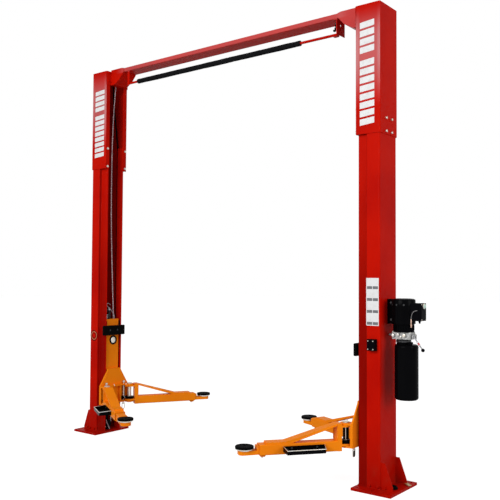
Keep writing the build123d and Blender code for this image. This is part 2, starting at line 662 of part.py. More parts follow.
def bumper():
    pad = block(HOUSING_BACK - BUMPER_THICKNESS, HOUSING_BACK, -BUMPER_HALF_LENGTH,
                BUMPER_HALF_LENGTH, BUMPER_BOTTOM, BUMPER_TOP)
    return fillet(pad.edges().group_by(Axis.X)[0], 12)


def arm_pins():
    parts = []
    for side in (-1, 1):
        y = side * PIVOT_Y
        pin = rod(PIVOT_X, y, HOUSING_BOTTOM - 8, HOUSING_TOP, PIN_RADIUS)
        pin += rod(PIVOT_X, y, HOUSING_TOP, HOUSING_TOP + PIN_HEAD_HEIGHT, PIN_HEAD_RADIUS)
        parts.append(pin)
        parts.append(restraint(side))
    return parts


def restraint(side):
    x, y = RESTRAINT_X, side * RESTRAINT_Y
    z0 = HOUSING_BOTTOM + EAR_PLATE + 2 * FORK_GAP + EAR_PLATE
    lock = block(x - 22, x + 12, y - 20, y + 20, z0, z0 + GEAR_HEIGHT)
    lock -= rod(PIVOT_X, side * PIVOT_Y, z0 - 1, z0 + GEAR_HEIGHT + 1, GEAR_RADIUS + 7)
    body = rod(x, y, RESTRAINT_BOTTOM, RESTRAINT_TOP, RESTRAINT_RADIUS) + lock
    body += rod(x, y, RESTRAINT_TOP - 14, RESTRAINT_TOP, RESTRAINT_RADIUS + 5)
    loop = RESTRAINT_LOOP_HEIGHT / 2 - RESTRAINT_LOOP_WIDTH / 2
    middle = RESTRAINT_BOTTOM - loop
    for end in (-1, 1):
        body += rod(x, y + end * RESTRAINT_LOOP_WIDTH / 2, middle - loop, middle + loop, RESTRAINT_WIRE)
        bow = Pos(x, y, middle + end * loop) * Rot(0, 90, 0) * Torus(RESTRAINT_LOOP_WIDTH / 2,
                                                                    RESTRAINT_WIRE)
        half = RESTRAINT_LOOP_WIDTH / 2 + RESTRAINT_WIRE
        z0, z1 = sorted((middle + end * loop, middle + end * (loop + 2 * half)))
        body += bow & block(x - half, x + half, y - half, y + half, z0, z1)
    return body


for name, shapes in (
    ("carriage", [carriage()]), ("slide_blocks", slide_blocks()), ("bumper", [bumper()]),
    ("arm_pins", arm_pins()),
):
    keep("right_" + name, *shapes)
    keep("left_" + name, *[both(shape)[1] for shape in shapes])


# Arms
TUBE_TOP = TUBE_BOTTOM + TUBE_HEIGHT
FORK_LOW = HOUSING_BOTTOM + EAR_PLATE + FORK_GAP
FORK_HIGH = HOUSING_TOP - EAR_PLATE - FORK_GAP - EAR_PLATE


def outer_arm():
    """Seen from its pivot, the arm runs along +X."""
    half = TUBE_WIDTH / 2
    post_end = ARM_POST_START + ARM_POST_LENGTH
    tube = block(TUBE_START, TUBE_END, -half, half, TUBE_BOTTOM, TUBE_TOP)
    tube = fillet(tube.edges().filter_by(Axis.X), 8)
    body = tube + block(ARM_POST_START, post_end, -half, half, TUBE_BOTTOM, HOUSING_TOP)
    body -= block(post_end, TUBE_END + 1, -half + TUBE_WALL, half - TUBE_WALL,
                  TUBE_BOTTOM + TUBE_WALL, TUBE_TOP - TUBE_WALL)
    body -= block(ARM_POST_START + ARM_POST_PLATE, post_end - ARM_POST_PLATE, -half + ARM_POST_PLATE,
                  half - ARM_POST_PLATE, TUBE_BOTTOM + TUBE_WALL, HOUSING_TOP - STRUT_PLATE)
    for z in (FORK_LOW, FORK_HIGH):
        body += rod(0, 0, z, z + EAR_PLATE, EAR_RADIUS)
        body += plate_xy([(0, -EAR_RADIUS), (ARM_POST_START, -half), (ARM_POST_START, half),
                          (0, EAR_RADIUS)], z, z + EAR_PLATE)
        body -= rod(0, 0, z - 1, z + EAR_PLATE + 1, PIN_RADIUS + PIN_FIT)
    body += plate_xz([
        (post_end - 1, HOUSING_TOP), (STRUT_END, TUBE_TOP + STRUT_PLATE),
        (DOUBLER_END, TUBE_TOP + STRUT_PLATE), (DOUBLER_END, TUBE_TOP - 1),
        (STRUT_END - 38, TUBE_TOP - 1), (post_end - 1, HOUSING_TOP - 1.1 * STRUT_PLATE),
    ], -half + 4, half - 4)
    lug = block(TUBE_END - 50, TUBE_END - 8, -26, 26, TUBE_BOTTOM - 14, TUBE_BOTTOM)
    body += fillet(lug.edges().filter_by(Axis.Y).group_by(Axis.Z)[0], 10)
    return body


def gear():
    root = GEAR_RADIUS - 6
    step = 360 / GEAR_TEETH
    points = []
    for tooth in range(GEAR_TEETH):
        for turn, radius in ((0.0, root), (0.25, GEAR_RADIUS), (0.5, GEAR_RADIUS), (0.75, root)):
            angle = radians(step * (tooth + turn))
            points.append((radius * cos(angle), radius * sin(angle)))
    z0 = FORK_LOW + EAR_PLATE
    return plate_xy(points, z0, z0 + GEAR_HEIGHT) - rod(0, 0, z0 - 1, z0 + GEAR_HEIGHT + 1,
                                                       PIN_RADIUS + PIN_FIT)


def inner_arm(out):
    half = TUBE_WIDTH / 2 - TUBE_WALL - SLIDER_GAP
    z0 = TUBE_BOTTOM + TUBE_WALL + SLIDER_FLOOR_GAP
    z1 = TUBE_TOP - TUBE_WALL - SLIDER_GAP
    body = block(SLIDER_START + out, SLIDER_STEP + out, -half, half, z0, z1)
    body = fillet(body.edges().filter_by(Axis.X), 5)
    body -= block(SLIDER_START + out - 1, SLIDER_STEP + out - 12, -half + SLIDER_WALL,
                  half - SLIDER_WALL, z0 + SLIDER_WALL, z1 - SLIDER_WALL)
    tip = plate_xy([
        (SLIDER_STEP + out - 12, -half), (REACH + out + TIP_RADIUS - 22, -TIP_RADIUS + 4),
        (REACH + out + TIP_RADIUS, -TIP_RADIUS + 26), (REACH + out + TIP_RADIUS, TIP_RADIUS - 26),
        (REACH + out + TIP_RADIUS - 22, TIP_RADIUS - 4), (SLIDER_STEP + out - 12, half),
    ], z0, z0 + TIP_HEIGHT)
    return body + tip


def pad(out):
    x = REACH + out
    z0 = TUBE_BOTTOM + TUBE_WALL + SLIDER_FLOOR_GAP + TIP_HEIGHT
    rubber = PAD_TOP - PAD_RUBBER
    body = rod(x, 0, z0, rubber - PAD_DISH, PAD_SOCKET_RADIUS)
    body += rod(x, 0, rubber - PAD_DISH, rubber, PAD_RADIUS - 2)
    top = rod(x, 0, rubber, PAD_TOP, PAD_RADIUS)
    return body + fillet(top.edges().group_by(Axis.Z)[-1], 4)


def tray(side):
    """Hangs on the tube; its outer wall is lower than the wall against the tube."""
    near = TUBE_WIDTH / 2
    far = near + TRAY_REACH
    z0 = TRAY_TOP - TRAY_DEPTH
    outline = [
        (TRAY_START, side * near), (TRAY_START + 30, side * far),
        (TRAY_END, side * far), (TRAY_END, side * near),
    ]
    wall = TRAY_WALL
    inside = [
        (TRAY_START + 1.3 * wall, side * (near + wall)),
        (TRAY_START + 30 + wall, side * (far - wall)),
        (TRAY_END - wall, side * (far - wall)), (TRAY_END - wall, side * (near + wall)),
    ]
    body = plate_xy(outline, z0, TRAY_TOP) - plate_xy(inside, z0 + wall, TRAY_TOP + 1)
    above = plate_yz([
        (side * (near + wall), TRAY_TOP + 1), (side * (near + wall), TRAY_TOP),
        (side * (far + 1), TRAY_RIM), (side * (far + 1), TRAY_TOP + 1),
    ], TRAY_START - 1, TRAY_END + 1)
    return body - above


def on_pivot(name, shape):
    side, end, swing, _ = ARMS[name]
    turn = swing * end if side < 0 else 180 - swing * end
    return Pos(side * PIVOT_X, end * PIVOT_Y, 0) * Rot(0, 0, turn) * shape


for name, (side, end, swing, out) in ARMS.items():
    keep(name + "_arm", on_pivot(name, outer_arm()))
    keep(name + "_gear", on_pivot(name, gear()))
    keep(name + "_tray", on_pivot(name, tray(-side * end)))
    keep(name + "_slider", on_pivot(name, inner_arm(out)))
    keep(name + "_pad", on_pivot(name, pad(out)))


# Shut-off bar
def bar_hanger():
    low = BAR_LEVEL - 18
    y0 = -BEAM_HALF_WIDTH + BEAM_PLATE
    body = block(BAR_LEFT - 14, BAR_LEFT + 14, y0, y0 + 5, low, BEAM_BOTTOM)
    body += block(BAR_LEFT - 14, BAR_LEFT + 14, y0, y0 + 40, BEAM_BOTTOM - 5, BEAM_BOTTOM)
    return body + rod_y(BAR_LEFT, y0 - 3, BAR_Y + 15, BAR_LEVEL, BAR_PIN_RADIUS)


def bar_rod():
    body = rod_x(BAR_LEFT - 16, BAR_RIGHT, BAR_Y, BAR_LEVEL, BAR_RADIUS)
    return body - rod_y(BAR_LEFT, BAR_Y - 30, BAR_Y + 30, BAR_LEVEL, BAR_PIN_RADIUS + PIN_FIT)


def bar_foam():
    tube = rod_x(FOAM_LEFT, FOAM_RIGHT, BAR_Y, BAR_LEVEL, FOAM_RADIUS)
    return tube - rod_x(FOAM_LEFT - 1, FOAM_RIGHT + 1, BAR_Y, BAR_LEVEL, BAR_RADIUS)


def switch_bracket():
    """A plate across the beam's underside, with a ledge that the end of the bar rests on."""
    x0 = BAR_RIGHT + 5
    x1 = x0 + SWITCH_PLATE
    low = BAR_LEVEL - BAR_RADIUS
    y0 = -BEAM_HALF_WIDTH + 2
    y1 = y0 + 2 * SWITCH_PLATE_HALF
    step = BAR_Y + BAR_RADIUS + 6
    body = plate_yz([
        (y0, BEAM_BOTTOM), (y1, BEAM_BOTTOM), (y1, BAR_LEVEL), (step, BAR_LEVEL),
        (step, low - SWITCH_PLATE), (y0, low - SWITCH_PLATE),
    ], x0, x1)
    body += block(BAR_RIGHT - 30, x0, y0, step, low - SWITCH_PLATE, low)
    body += block(x0 - 28, x0, y0, y1, BEAM_BOTTOM - SWITCH_PLATE, BEAM_BOTTOM)
    return body - rod_x(x0 - 1, x1 + 1, y0 + SWITCH_PLATE_HALF, BEAM_BOTTOM - 40, 10)


def limit_switch():
    """Screwed to the plate, with a roller just above the bar."""
    x1 = BAR_RIGHT + 5
    x0 = x1 - 36
    y0 = BAR_Y + BAR_RADIUS + 8
    roller = BAR_LEVEL + SWITCH_ROLLER_RISE
    body = block(x0, x1, y0, y0 + 24, roller + 22, roller + 66)
    body += block(x0 - 8, x0 + 6, y0 + 4, y0 + 8, roller - 2, roller + 30)
    body += rod_y(x0 - 4, y0 - 12, y0 + 6, roller, 8)
    return body


keep("bar_hanger", bar_hanger())
keep("shut_off_bar", bar_rod())
keep("bar_padding", bar_foam())
keep("switch_bracket", switch_bracket())
keep("limit_switch", limit_switch())


# Power unit and covers
def unit_bracket():
    """Two upright flanges from the column to the motor, cut to its round."""
    end = MOTOR_X - FAN_COVER_RADIUS / 2
    body = block(COLUMN_OUTER, COLUMN_OUTER + 6, -17, 61, MOTOR_STEP - 6, MOTOR_TOP - 6)
    for y in (-17.0, 55.0):
        body += block(COLUMN_OUTER, end, y, y + 6, MOTOR_STEP - 6, MOTOR_TOP - 6)
    body -= rod(MOTOR_X, 0, MOTOR_STEP, MOTOR_TOP, FAN_COVER_RADIUS)
    return body - rod(MOTOR_X, 0, MOTOR_STEP - 10, MOTOR_STEP, MOTOR_RADIUS)


def manifold():
    body = block(MANIFOLD_LEFT, MANIFOLD_RIGHT, -45, 45, MANIFOLD_BOTTOM, MANIFOLD_TOP)
    body = fillet(body.edges().filter_by(Axis.Z), 14)
    for x, level, radius in ((22, 28, 13), (62, 34, 11), (84, 18, 9), (112, 30, 14)):
        body += rod_y(MANIFOLD_LEFT + x, -45 - radius, -40, MANIFOLD_BOTTOM + level, radius)
    body += rod_x(COLUMN_OUTER, MANIFOLD_LEFT + 2, 20, MANIFOLD_BOTTOM + 26, 9)
    return body


def motor():
    body = rod(MOTOR_X, 0, MANIFOLD_TOP, MOTOR_STEP, MOTOR_RADIUS)
    body += rod(MOTOR_X, 0, MOTOR_STEP, MOTOR_TOP - 14, FAN_COVER_RADIUS)
    cap = rod(MOTOR_X, 0, MOTOR_TOP - 14, MOTOR_TOP, FAN_COVER_RADIUS - 3)
    return body + fillet(cap.edges().group_by(Axis.Z)[-1], 9)


def reservoir():
    tank = rod(TANK_X, 0, TANK_BOTTOM, TANK_TOP, TANK_RADIUS)
    tank = fillet(tank.edges().filter_by(GeomType.CIRCLE), 18)
    return tank + rod(MOTOR_X, 0, TANK_TOP - 2, MANIFOLD_BOTTOM, TANK_NECK_RADIUS)


def control_box():
    box = block(MOTOR_X + FAN_COVER_RADIUS / 2, BOX_RIGHT, -BOX_HALF_WIDTH, BOX_HALF_WIDTH,
                BOX_BOTTOM, BOX_TOP)
    box = fillet(box.edges().group_by(Axis.X)[-1], 6)
    box -= rod(MOTOR_X, 0, MANIFOLD_TOP, MOTOR_TOP, FAN_COVER_RADIUS)
    return box + rod_x(BOX_RIGHT - 2, BOX_RIGHT + 8, 0, BUTTON_LEVEL, BUTTON_RADIUS)


def release_lever():
    start = (LEVER_X, LEVER_Y, LEVER_LEVEL)
    end = (LEVER_X + LEVER_RUN, LEVER_Y - 4, LEVER_LEVEL - LEVER_DROP)
    line = Line(start, end)
    body = sweep(Plane(origin=line @ 0, z_dir=line % 0) * Circle(5), path=line)
    body += rod_y(LEVER_X, LEVER_Y - 8, LEVER_Y + 8, LEVER_LEVEL, 12)
    body -= rod_y(LEVER_X, LEVER_Y - 9, LEVER_Y + 9, LEVER_LEVEL, 6 + PIN_FIT)
    return body + Pos(*end) * Sphere(13)


def lever_post():
    """A lug on the manifold's end, behind the lever, with the lever's pin."""
    y0 = LEVER_Y + 10
    lug = block(MANIFOLD_RIGHT - 6, LEVER_X + 14, y0, y0 + 16, LEVER_LEVEL - 22, LEVER_LEVEL + 14)
    return lug + rod_y(LEVER_X, LEVER_Y - 14, y0 + 2, LEVER_LEVEL, 6)


def lock_cover():
    y1 = -COLUMN_HALF_WIDTH
    x0, x1 = (COLUMN_OUTER - edge for edge in LOCK_COVER_EDGES)
    cover = block(x0, x1, y1 - LOCK_COVER_DEPTH, y1, LOCK_COVER_BOTTOM, LOCK_COVER_TOP)
    return fillet(cover.edges().group_by(Axis.Y)[0], 8)


keep("power_unit_bracket", unit_bracket())
keep("manifold", manifold() + lever_post())
keep("motor", motor())
keep("reservoir", reservoir())
keep("control_box", control_box())
keep("release_lever", release_lever())
keep("lock_covers", *both(lock_cover()))


os.makedirs("parts", exist_ok=True)
for name, shape in made.items():
    export_step(shape, f"parts/{name}.step")
print(len(made), "parts")
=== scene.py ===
import json
from math import asin, cos, pi, radians, sin, tau

import bmesh
import bpy
from mathutils import Matrix, Vector, noise


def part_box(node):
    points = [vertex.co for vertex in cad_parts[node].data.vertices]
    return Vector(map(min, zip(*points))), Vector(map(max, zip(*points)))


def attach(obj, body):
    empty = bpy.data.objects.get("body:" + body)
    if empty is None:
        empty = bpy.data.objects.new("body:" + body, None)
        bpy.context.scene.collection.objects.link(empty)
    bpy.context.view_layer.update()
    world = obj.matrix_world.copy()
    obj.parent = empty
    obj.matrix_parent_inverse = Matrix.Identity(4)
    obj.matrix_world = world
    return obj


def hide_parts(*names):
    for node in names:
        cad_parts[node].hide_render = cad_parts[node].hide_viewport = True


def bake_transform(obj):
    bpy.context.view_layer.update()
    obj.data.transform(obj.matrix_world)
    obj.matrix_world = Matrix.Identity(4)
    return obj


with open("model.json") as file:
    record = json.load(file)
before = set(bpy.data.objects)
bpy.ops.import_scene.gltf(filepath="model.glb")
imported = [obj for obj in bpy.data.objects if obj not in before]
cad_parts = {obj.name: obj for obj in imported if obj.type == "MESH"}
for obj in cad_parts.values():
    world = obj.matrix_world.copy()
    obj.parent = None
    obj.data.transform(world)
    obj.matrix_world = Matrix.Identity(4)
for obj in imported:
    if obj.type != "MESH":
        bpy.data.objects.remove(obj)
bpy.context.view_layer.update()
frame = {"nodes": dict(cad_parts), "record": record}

NODES = frame["nodes"]

# Camera: where it stands, its turns and its lens, in metres and degrees.
CAMERA_PLACE = (4.18964, -4.97032, 1.59804)
CAMERA_YAW = 37.93
CAMERA_PITCH = 2.11
CAMERA_ROLL = 0.33
LENS = 51.52
SENSOR = 36.0

# Light: powers in watts, levels as shares of white
ROOM_LEVEL = 0.48
KEY_PLACE = (0.5, -7.0, 4.0)
KEY_POWER = 320
FILL_PLACE = (8.0, -0.5, 3.0)
FILL_POWER = 150
FLOOR_LIFT = 0.8


def into_scene(obj):
    bpy.context.scene.collection.objects.link(obj)


def set_camera():
    yaw, pitch, roll = (radians(a) for a in (CAMERA_YAW, CAMERA_PITCH, CAMERA_ROLL))
    ahead = Vector((-sin(yaw) * cos(pitch), cos(yaw) * cos(pitch), sin(pitch)))
    level = Vector((cos(yaw), sin(yaw), 0))
    above = level.cross(ahead)
    right = level * cos(roll) + above * sin(roll)
    top = -level * sin(roll) + above * cos(roll)
    data = bpy.data.cameras.new("camera")
    data.lens = LENS
    data.sensor_width = SENSOR
    data.sensor_fit = "HORIZONTAL"
    data.clip_end = 100
    camera = bpy.data.objects.new("camera", data)
    turn = Matrix((right, top, -ahead)).transposed().to_4x4()
    camera.matrix_world = Matrix.Translation(CAMERA_PLACE) @ turn
    into_scene(camera)
    bpy.context.scene.camera = camera


class Level:
    """A shader socket. Plain arithmetic on it adds the Math nodes."""

    def __init__(self, finish, socket):
        self.finish = finish
        self.socket = socket

    def _math(self, operation, first, second):
        return self.finish.node("Math", {"operation": operation}, {0: first, 1: second})

    def __add__(self, other):
        return self._math("ADD", self, other)

    def __radd__(self, other):
        return self._math("ADD", other, self)

    def __sub__(self, other):
        return self._math("SUBTRACT", self, other)

    def __rsub__(self, other):
        return self._math("SUBTRACT", other, self)

    def __mul__(self, other):
        return self._math("MULTIPLY", self, other)

    def __rmul__(self, other):
        return self._math("MULTIPLY", other, self)

    def __pow__(self, other):
        return self._math("POWER", self, other)


class Nodes:
    """A tree of nodes. One method makes them all."""

    def __init__(self, tree):
        self.tree = tree

    def feed(self, socket, value):
        """Links a level to a socket, or sets a plain value there."""
        if isinstance(value, Level):
            self.tree.links.new(value.socket, socket)
        else:
            socket.default_value = value

    def node(self, kind, settings=None, values=None, output=0):
        made = self.tree.nodes.new("ShaderNode" + kind)
        for key, value in (settings or {}).items():
            setattr(made, key, value)
        for key, value in (values or {}).items():
            self.feed(made.inputs[key], value)
        return Level(self, made.outputs[output])

    def most(self, first, second):
        return self.node("Math", {"operation": "MAXIMUM"}, {0: first, 1: second})

    def seen(self):
        """1 for what the camera sees, straight, in a mirror or through glass."""
        share = self.node("LightPath", output="Is Camera Ray")
        for ray in ("Is Glossy Ray", "Is Transmission Ray"):
            share = self.most(share, self.node("LightPath", output=ray))
        return share


class Finish(Nodes):
    """A material with one main shader, built from a few kinds of node."""

    def __init__(self, name, roughness=0.5, metallic=0.0, **constants):
        self.material = bpy.data.materials.new(name)
        self.material.use_nodes = True
        super().__init__(self.material.node_tree)
        self.shader = self.tree.nodes["Principled BSDF"]
        self.set("Roughness", roughness)
        self.set("Metallic", metallic)
        for key, value in constants.items():
            self.set(key.replace("_", " "), value)

    def set(self, socket, value):
        if socket.endswith("Color") and not isinstance(value, Level):
            value = (*value, 1)
        self.feed(self.shader.inputs[socket], value)

    def place(self, scale=None):
        """The piece's own coordinates in metres, stretched where a scale is given."""
        where = self.node("TexCoord", output="Object")
        if scale is None:
            return where
        return self.node("Mapping", values={"Vector": where, "Scale": scale})

    def part(self, vector, axis):
        return self.node("SeparateXYZ", values={0: vector}, output=axis)

    def noise(self, size, detail=3.0, rough=0.5, where=None):
        """Cloudy values from 0 to 1; size is how many patches fit in a metre."""
        return self.node("TexNoise", values={"Vector": where or self.place(), "Scale": size,
                                             "Detail": detail, "Roughness": rough})

    def cells(self, size, where=None):
        return self.node("TexVoronoi", values={"Vector": where or self.place(), "Scale": size})

    def ramp(self, value, low, high):
        """0 below low, 1 above high, smooth between."""
        return self.node("MapRange", {"interpolation_type": "SMOOTHSTEP"},
                         {"Value": value, "From Min": low, "From Max": high})

    def mix(self, share, first, second):
        """A blend of two colours, each a level or three numbers."""
        first, second = (value if isinstance(value, Level) else (*value, 1) for value in (first, second))
        return self.node("Mix", {"data_type": "RGBA"}, {0: share, 6: first, 7: second}, output=2)

    def bump(self, height, depth, strength=1.0):
        """Relief on the surface; depth in metres."""
        values = {"Height": height, "Distance": depth, "Strength": strength}
        self.set("Normal", self.node("Bump", values=values))


DUST = (0.22, 0.1, 0.06)
# SHADE_RED is the colour of painted shade.
SHADE_RED = (0.06, 0.0, 0.0)
# PALE_GLARE is the colour of a painted highlight.
PALE_GLARE = (0.8, 0.72, 0.74)


def powder_coat(name, colour, shade, painted_light=0.0):
    """Sprayed enamel: fine orange peel, faint clouds, a painted highlight high on the front, painted shade in
    the recessed neck and inside the column, darker towards the bottom, dusty low down.
    """
    coat = Finish(name, Specular_IOR_Level=0.012, Coat_Weight=0.008, Coat_Roughness=0.08)
    clouds = coat.noise(2.6, 4.0)
    fine = coat.noise(60.0, 2.0)
    across, depth, height = (coat.part(coat.place(), axis) for axis in "XYZ")
    facing = coat.node("NewGeometry", output="Normal")
    front = coat.ramp(coat.part(facing, "Y"), -0.2, -0.7)
    middle = across ** 2
    body = coat.mix(coat.ramp(clouds, 0.3, 0.75), colour, shade)
    dusty = coat.ramp(height, 0.5, 0.0) * coat.ramp(coat.noise(14.0, 6.0), 0.45, 0.8)
    body = coat.mix(dusty * 0.13, body, DUST)
    # Painted shade: the recessed neck strip on the front and the inward faces deep in the column are
    # darkened, and the paint gets darker towards the bottom; all are mixed toward SHADE_RED.
    neck = coat.ramp(depth, -0.125, -0.118) * coat.ramp(depth, -0.1, -0.104)
    neck = neck * coat.ramp(height, 2.8, 0.9) * front
    inner_shade = coat.ramp(coat.part(facing, "X") * across, -0.5, -1.2) * coat.ramp(middle, 2.25, 2.45)
    low_down = coat.ramp(height, 0.7, 0.0)
    painted_shade = coat.most(coat.most(neck * 0.55, inner_shade * 0.6), low_down * 0.25)
    body = coat.mix(painted_shade * painted_light, body, SHADE_RED)
    # Painted highlight: a pale glare high on the front of the extension sleeves, stronger near their edges,
    # and fainter on the front of the beam and on the bracket panel.
    edge = coat.most(coat.ramp(middle, 2.66, 2.74), coat.ramp(middle, 2.24, 2.16))
    sleeve = coat.ramp(height, 2.88, 3.32) * coat.ramp(height, 3.7, 3.42) * coat.ramp(depth, -0.136, -0.141)
    beam = coat.ramp(height, 3.655, 3.675) * coat.ramp(middle, 1.9, 1.5)
    panel = coat.ramp(across, 1.22, 1.3) * coat.ramp(height, 3.54, 3.57) * coat.ramp(depth, -0.1395, -0.1385)
    pale = sleeve * (0.15 + 0.13 * edge) + beam * 0.09 + panel * 0.07
    coat.set("Base Color", coat.mix(pale * front * painted_light, body, PALE_GLARE))
    coat.set("Roughness", 0.3 + 0.1 * fine + 0.22 * dusty)
    coat.bump(coat.noise(420.0, 2.0) + 0.4 * fine, 0.0006, 0.35)
    return coat.material


def shaded(colour, share):
    """The same colour, darker or lighter, and never over white."""
    return tuple(min(1.0, part * share) for part in colour)


def plain(name, colour, roughness, metallic=0.0, grain=300.0, depth=0.0003, spread=0.25, coat=0.0):
    """Plastic, paint or metal with a fine grain and slight colour clouds."""
    skin = Finish(name, metallic=metallic, Specular_IOR_Level=0.015)
    if coat:
        skin.set("Coat Weight", coat)
        skin.set("Coat Roughness", 0.1)
    clouds = skin.noise(9.0, 5.0)
    skin.set("Base Color", skin.mix(clouds, shaded(colour, 1 - spread), shaded(colour, 1 + spread)))
    skin.set("Roughness", roughness - 0.06 + 0.12 * skin.noise(40.0, 3.0))
    skin.bump(skin.noise(grain, 3.0), depth, 0.4)
    return skin.material


def twisted(name, colour, groove, turns, strands, relief):
    """Laid wire: slanting grooves between the strands, darkened with painted shade, turned round the upright
    axis.
    """
    lay = Finish(name, metallic=0.25, Specular_IOR_Level=0.3)
    where = lay.place()
    across, depth, height = (lay.part(where, axis) for axis in "XYZ")
    around = lay.node("Math", {"operation": "ARCTAN2"}, {0: depth, 1: across})
    wave = lay.node("Math", {"operation": "SINE"}, {0: height * (tau * turns) + around * strands})
    ridge = lay.ramp(wave, -0.9, 0.3)
    oily = lay.ramp(lay.noise(30.0, 4.0), 0.35, 0.7)
    # The groove colour is painted shade between the strands.
    lay.set("Base Color", lay.mix(ridge, groove, lay.mix(oily, colour, shaded(colour, 0.7))))
    lay.set("Roughness", 0.34 + 0.25 * oily)
    lay.bump(ridge, relief, 0.5)
    return lay.material


def cast(name, colour):
    """Sand cast metal: coarse skin with stains and darker, rougher pits."""
    skin = Finish(name, metallic=0.9)
    pits = skin.ramp(skin.cells(420.0), 0.15, 0.55)
    stain = skin.ramp(skin.noise(24.0, 5.0, 0.6), 0.3, 0.75)
    stained = skin.mix(stain, shaded(colour, 0.72), colour)
    skin.set("Base Color", skin.mix(pits, shaded(colour, 0.55), stained))
    skin.set("Roughness", 0.58 - 0.18 * pits)
    skin.bump(pits + 0.5 * skin.noise(160.0, 3.0), 0.0008, 0.5)
    return skin.material


def plated(name, colour):
    """Plated metal: cool and warm clouds and a brushed grain."""
    skin = Finish(name, metallic=1.0)
    clouds = skin.ramp(skin.noise(32.0, 4.0), 0.3, 0.7)
    warm = (colour[0] * 1.02, colour[1] * 0.93, colour[2] * 0.78)
    grain = skin.noise(1.0, 3.0, where=skin.place(scale=(900, 900, 60)))
    skin.set("Base Color", skin.mix(clouds, colour, warm))
    skin.set("Roughness", 0.3 + 0.14 * grain + 0.08 * clouds)
    skin.bump(grain, 0.0002, 0.3)
    return skin.material


def moulded_rubber(name, colour):
    """Matt rubber: fine pebbles and clouds of grey bloom."""
    skin = Finish(name, Specular_IOR_Level=0.015)
    pebbles = skin.ramp(skin.cells(340.0), 0.0, 0.6)
    bloom = skin.ramp(skin.noise(18.0, 5.0, 0.6), 0.45, 0.8)
    pale = tuple(c * 2.2 + 0.002 for c in colour)
    skin.set("Base Color", skin.mix(bloom * 0.6, colour, pale))
    skin.set("Roughness", 0.62 + 0.2 * bloom)
    skin.bump(pebbles, 0.0006, 0.4)
    return skin.material


def foam_cover(name):
    """Closed cell foam: open pinholes, stretched along the bar."""
    skin = Finish(name, Specular_IOR_Level=0.04)
    where = skin.place(scale=(0.45, 1, 1))
    pores = skin.ramp(skin.cells(480.0, where), 0.05, 0.4)
    soft = skin.noise(22.0, 4.0, where=where)
    skin.set("Base Color", skin.mix(soft, (0.003, 0.003, 0.004), (0.012, 0.012, 0.013)))
    skin.set("Roughness", 0.86 + 0.1 * pores)
    skin.bump(pores + 0.7 * soft, 0.0015, 0.5)
    return skin.material


def vinyl(name, colour, grey):
    """Stuck-on film, slightly chalky and dusty."""
    film = Finish(name, Specular_IOR_Level=0.2, Coat_Weight=0.05, Coat_Roughness=0.2)
    dust = film.ramp(film.noise(26.0, 5.0, 0.6), 0.4, 0.8)
    film.set("Base Color", film.mix(dust * 0.5, colour, grey))
    film.set("Roughness", 0.38 + 0.15 * dust)
    film.bump(film.noise(180.0, 3.0), 0.0001, 0.3)
    return film.material


# Every finish: what makes it, and the values that it takes
FINISHES = {
    # red_paint's last value is how much painted shade and painted highlight it takes.
    "red_paint": (powder_coat, (0.58, 0.007, 0.001), (0.47, 0.004, 0.001), 1.0),
    "orange_paint": (powder_coat, (0.97, 0.265, 0.007), (0.88, 0.215, 0.005)),
    "zinc_steel": (plated, (0.56, 0.56, 0.55)),
    "black_rubber": (moulded_rubber, (0.002, 0.002, 0.002)),
    "black_plastic": (plain, (0.002, 0.002, 0.003), 0.42),
    "black_paint": (plain, (0.0015, 0.0015, 0.002), 0.28, 0.0, 160.0, 0.0002, 0.25, 0.012),
    "foam": (foam_cover,),
    "chrome": (plain, (0.28, 0.28, 0.29), 0.2, 1.0, 90.0, 0.0001, 0.05),
    "cast_aluminium": (cast, (0.4, 0.4, 0.39)),
    # wire_rope's second colour is painted shade in its grooves.
    "wire_rope": (twisted, (0.86, 0.68, 0.71), (0.52, 0.41, 0.43), 40, 6, 0.0006),
    "white_film": (vinyl, (0.82, 0.82, 0.82), (0.62, 0.6, 0.58)),
    "grey_film": (vinyl, (0.16, 0.16, 0.17), (0.22, 0.21, 0.2)),
    "button_green": (vinyl, (0.55, 0.72, 0.62), (0.42, 0.55, 0.48)),
    "copper": (plated, (0.52, 0.36, 0.3)),
    "dark_steel": (plain, (0.05, 0.05, 0.052), 0.38, 0.6),
    "pale_cable": (plain, (0.46, 0.36, 0.38), 0.5),
    "tan_card": (vinyl, (0.42, 0.3, 0.13), (0.3, 0.22, 0.1)),
    "grey_cable": (plain, (0.24, 0.23, 0.23), 0.5),
    "red_plastic": (plain, (0.62, 0.08, 0.09), 0.4),
}
MATERIALS = {name: make(name, *values) for name, (make, *values) in FINISHES.items()}

SLOTS = {entry["node"]: entry["material_slot"] for entry in frame["record"]["subparts"]}
for node, obj in NODES.items():
    obj.data.materials.clear()
    obj.data.materials.append(MATERIALS[SLOTS[node]])


# Hand tools that the pieces are made with

UP = (0, 0, 1)
DOWN = (0, 0, -1)
FORWARD = (0, -1, 0)
RIGHT = (1, 0, 0)


def stand(place, axis):
    """Moves a shape made upright at the origin to its place, with its top along axis."""
    turn = Vector(axis).to_track_quat("Z", "Y").to_matrix().to_4x4()
    return Matrix.Translation(Vector(place)) @ turn


def finished(name, mesh, finish, body, sharp=35):
    """A mesh becomes a named piece on one of the bodies; it sits at the origin.

    It takes the finish that is named.
    """
    bmesh.ops.remove_doubles(mesh, verts=mesh.verts, dist=1e-6)
    bmesh.ops.recalc_face_normals(mesh, faces=mesh.faces)
    data = bpy.data.meshes.new(name)
    mesh.to_mesh(data)
    mesh.free()
    data.polygons.foreach_set("use_smooth", [True] * len(data.polygons))
    data.set_sharp_from_angle(angle=radians(sharp))
    data.materials.append(MATERIALS[finish])
    obj = bpy.data.objects.new(name, data)
    into_scene(obj)
    if body:
        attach(obj, body)
    return obj


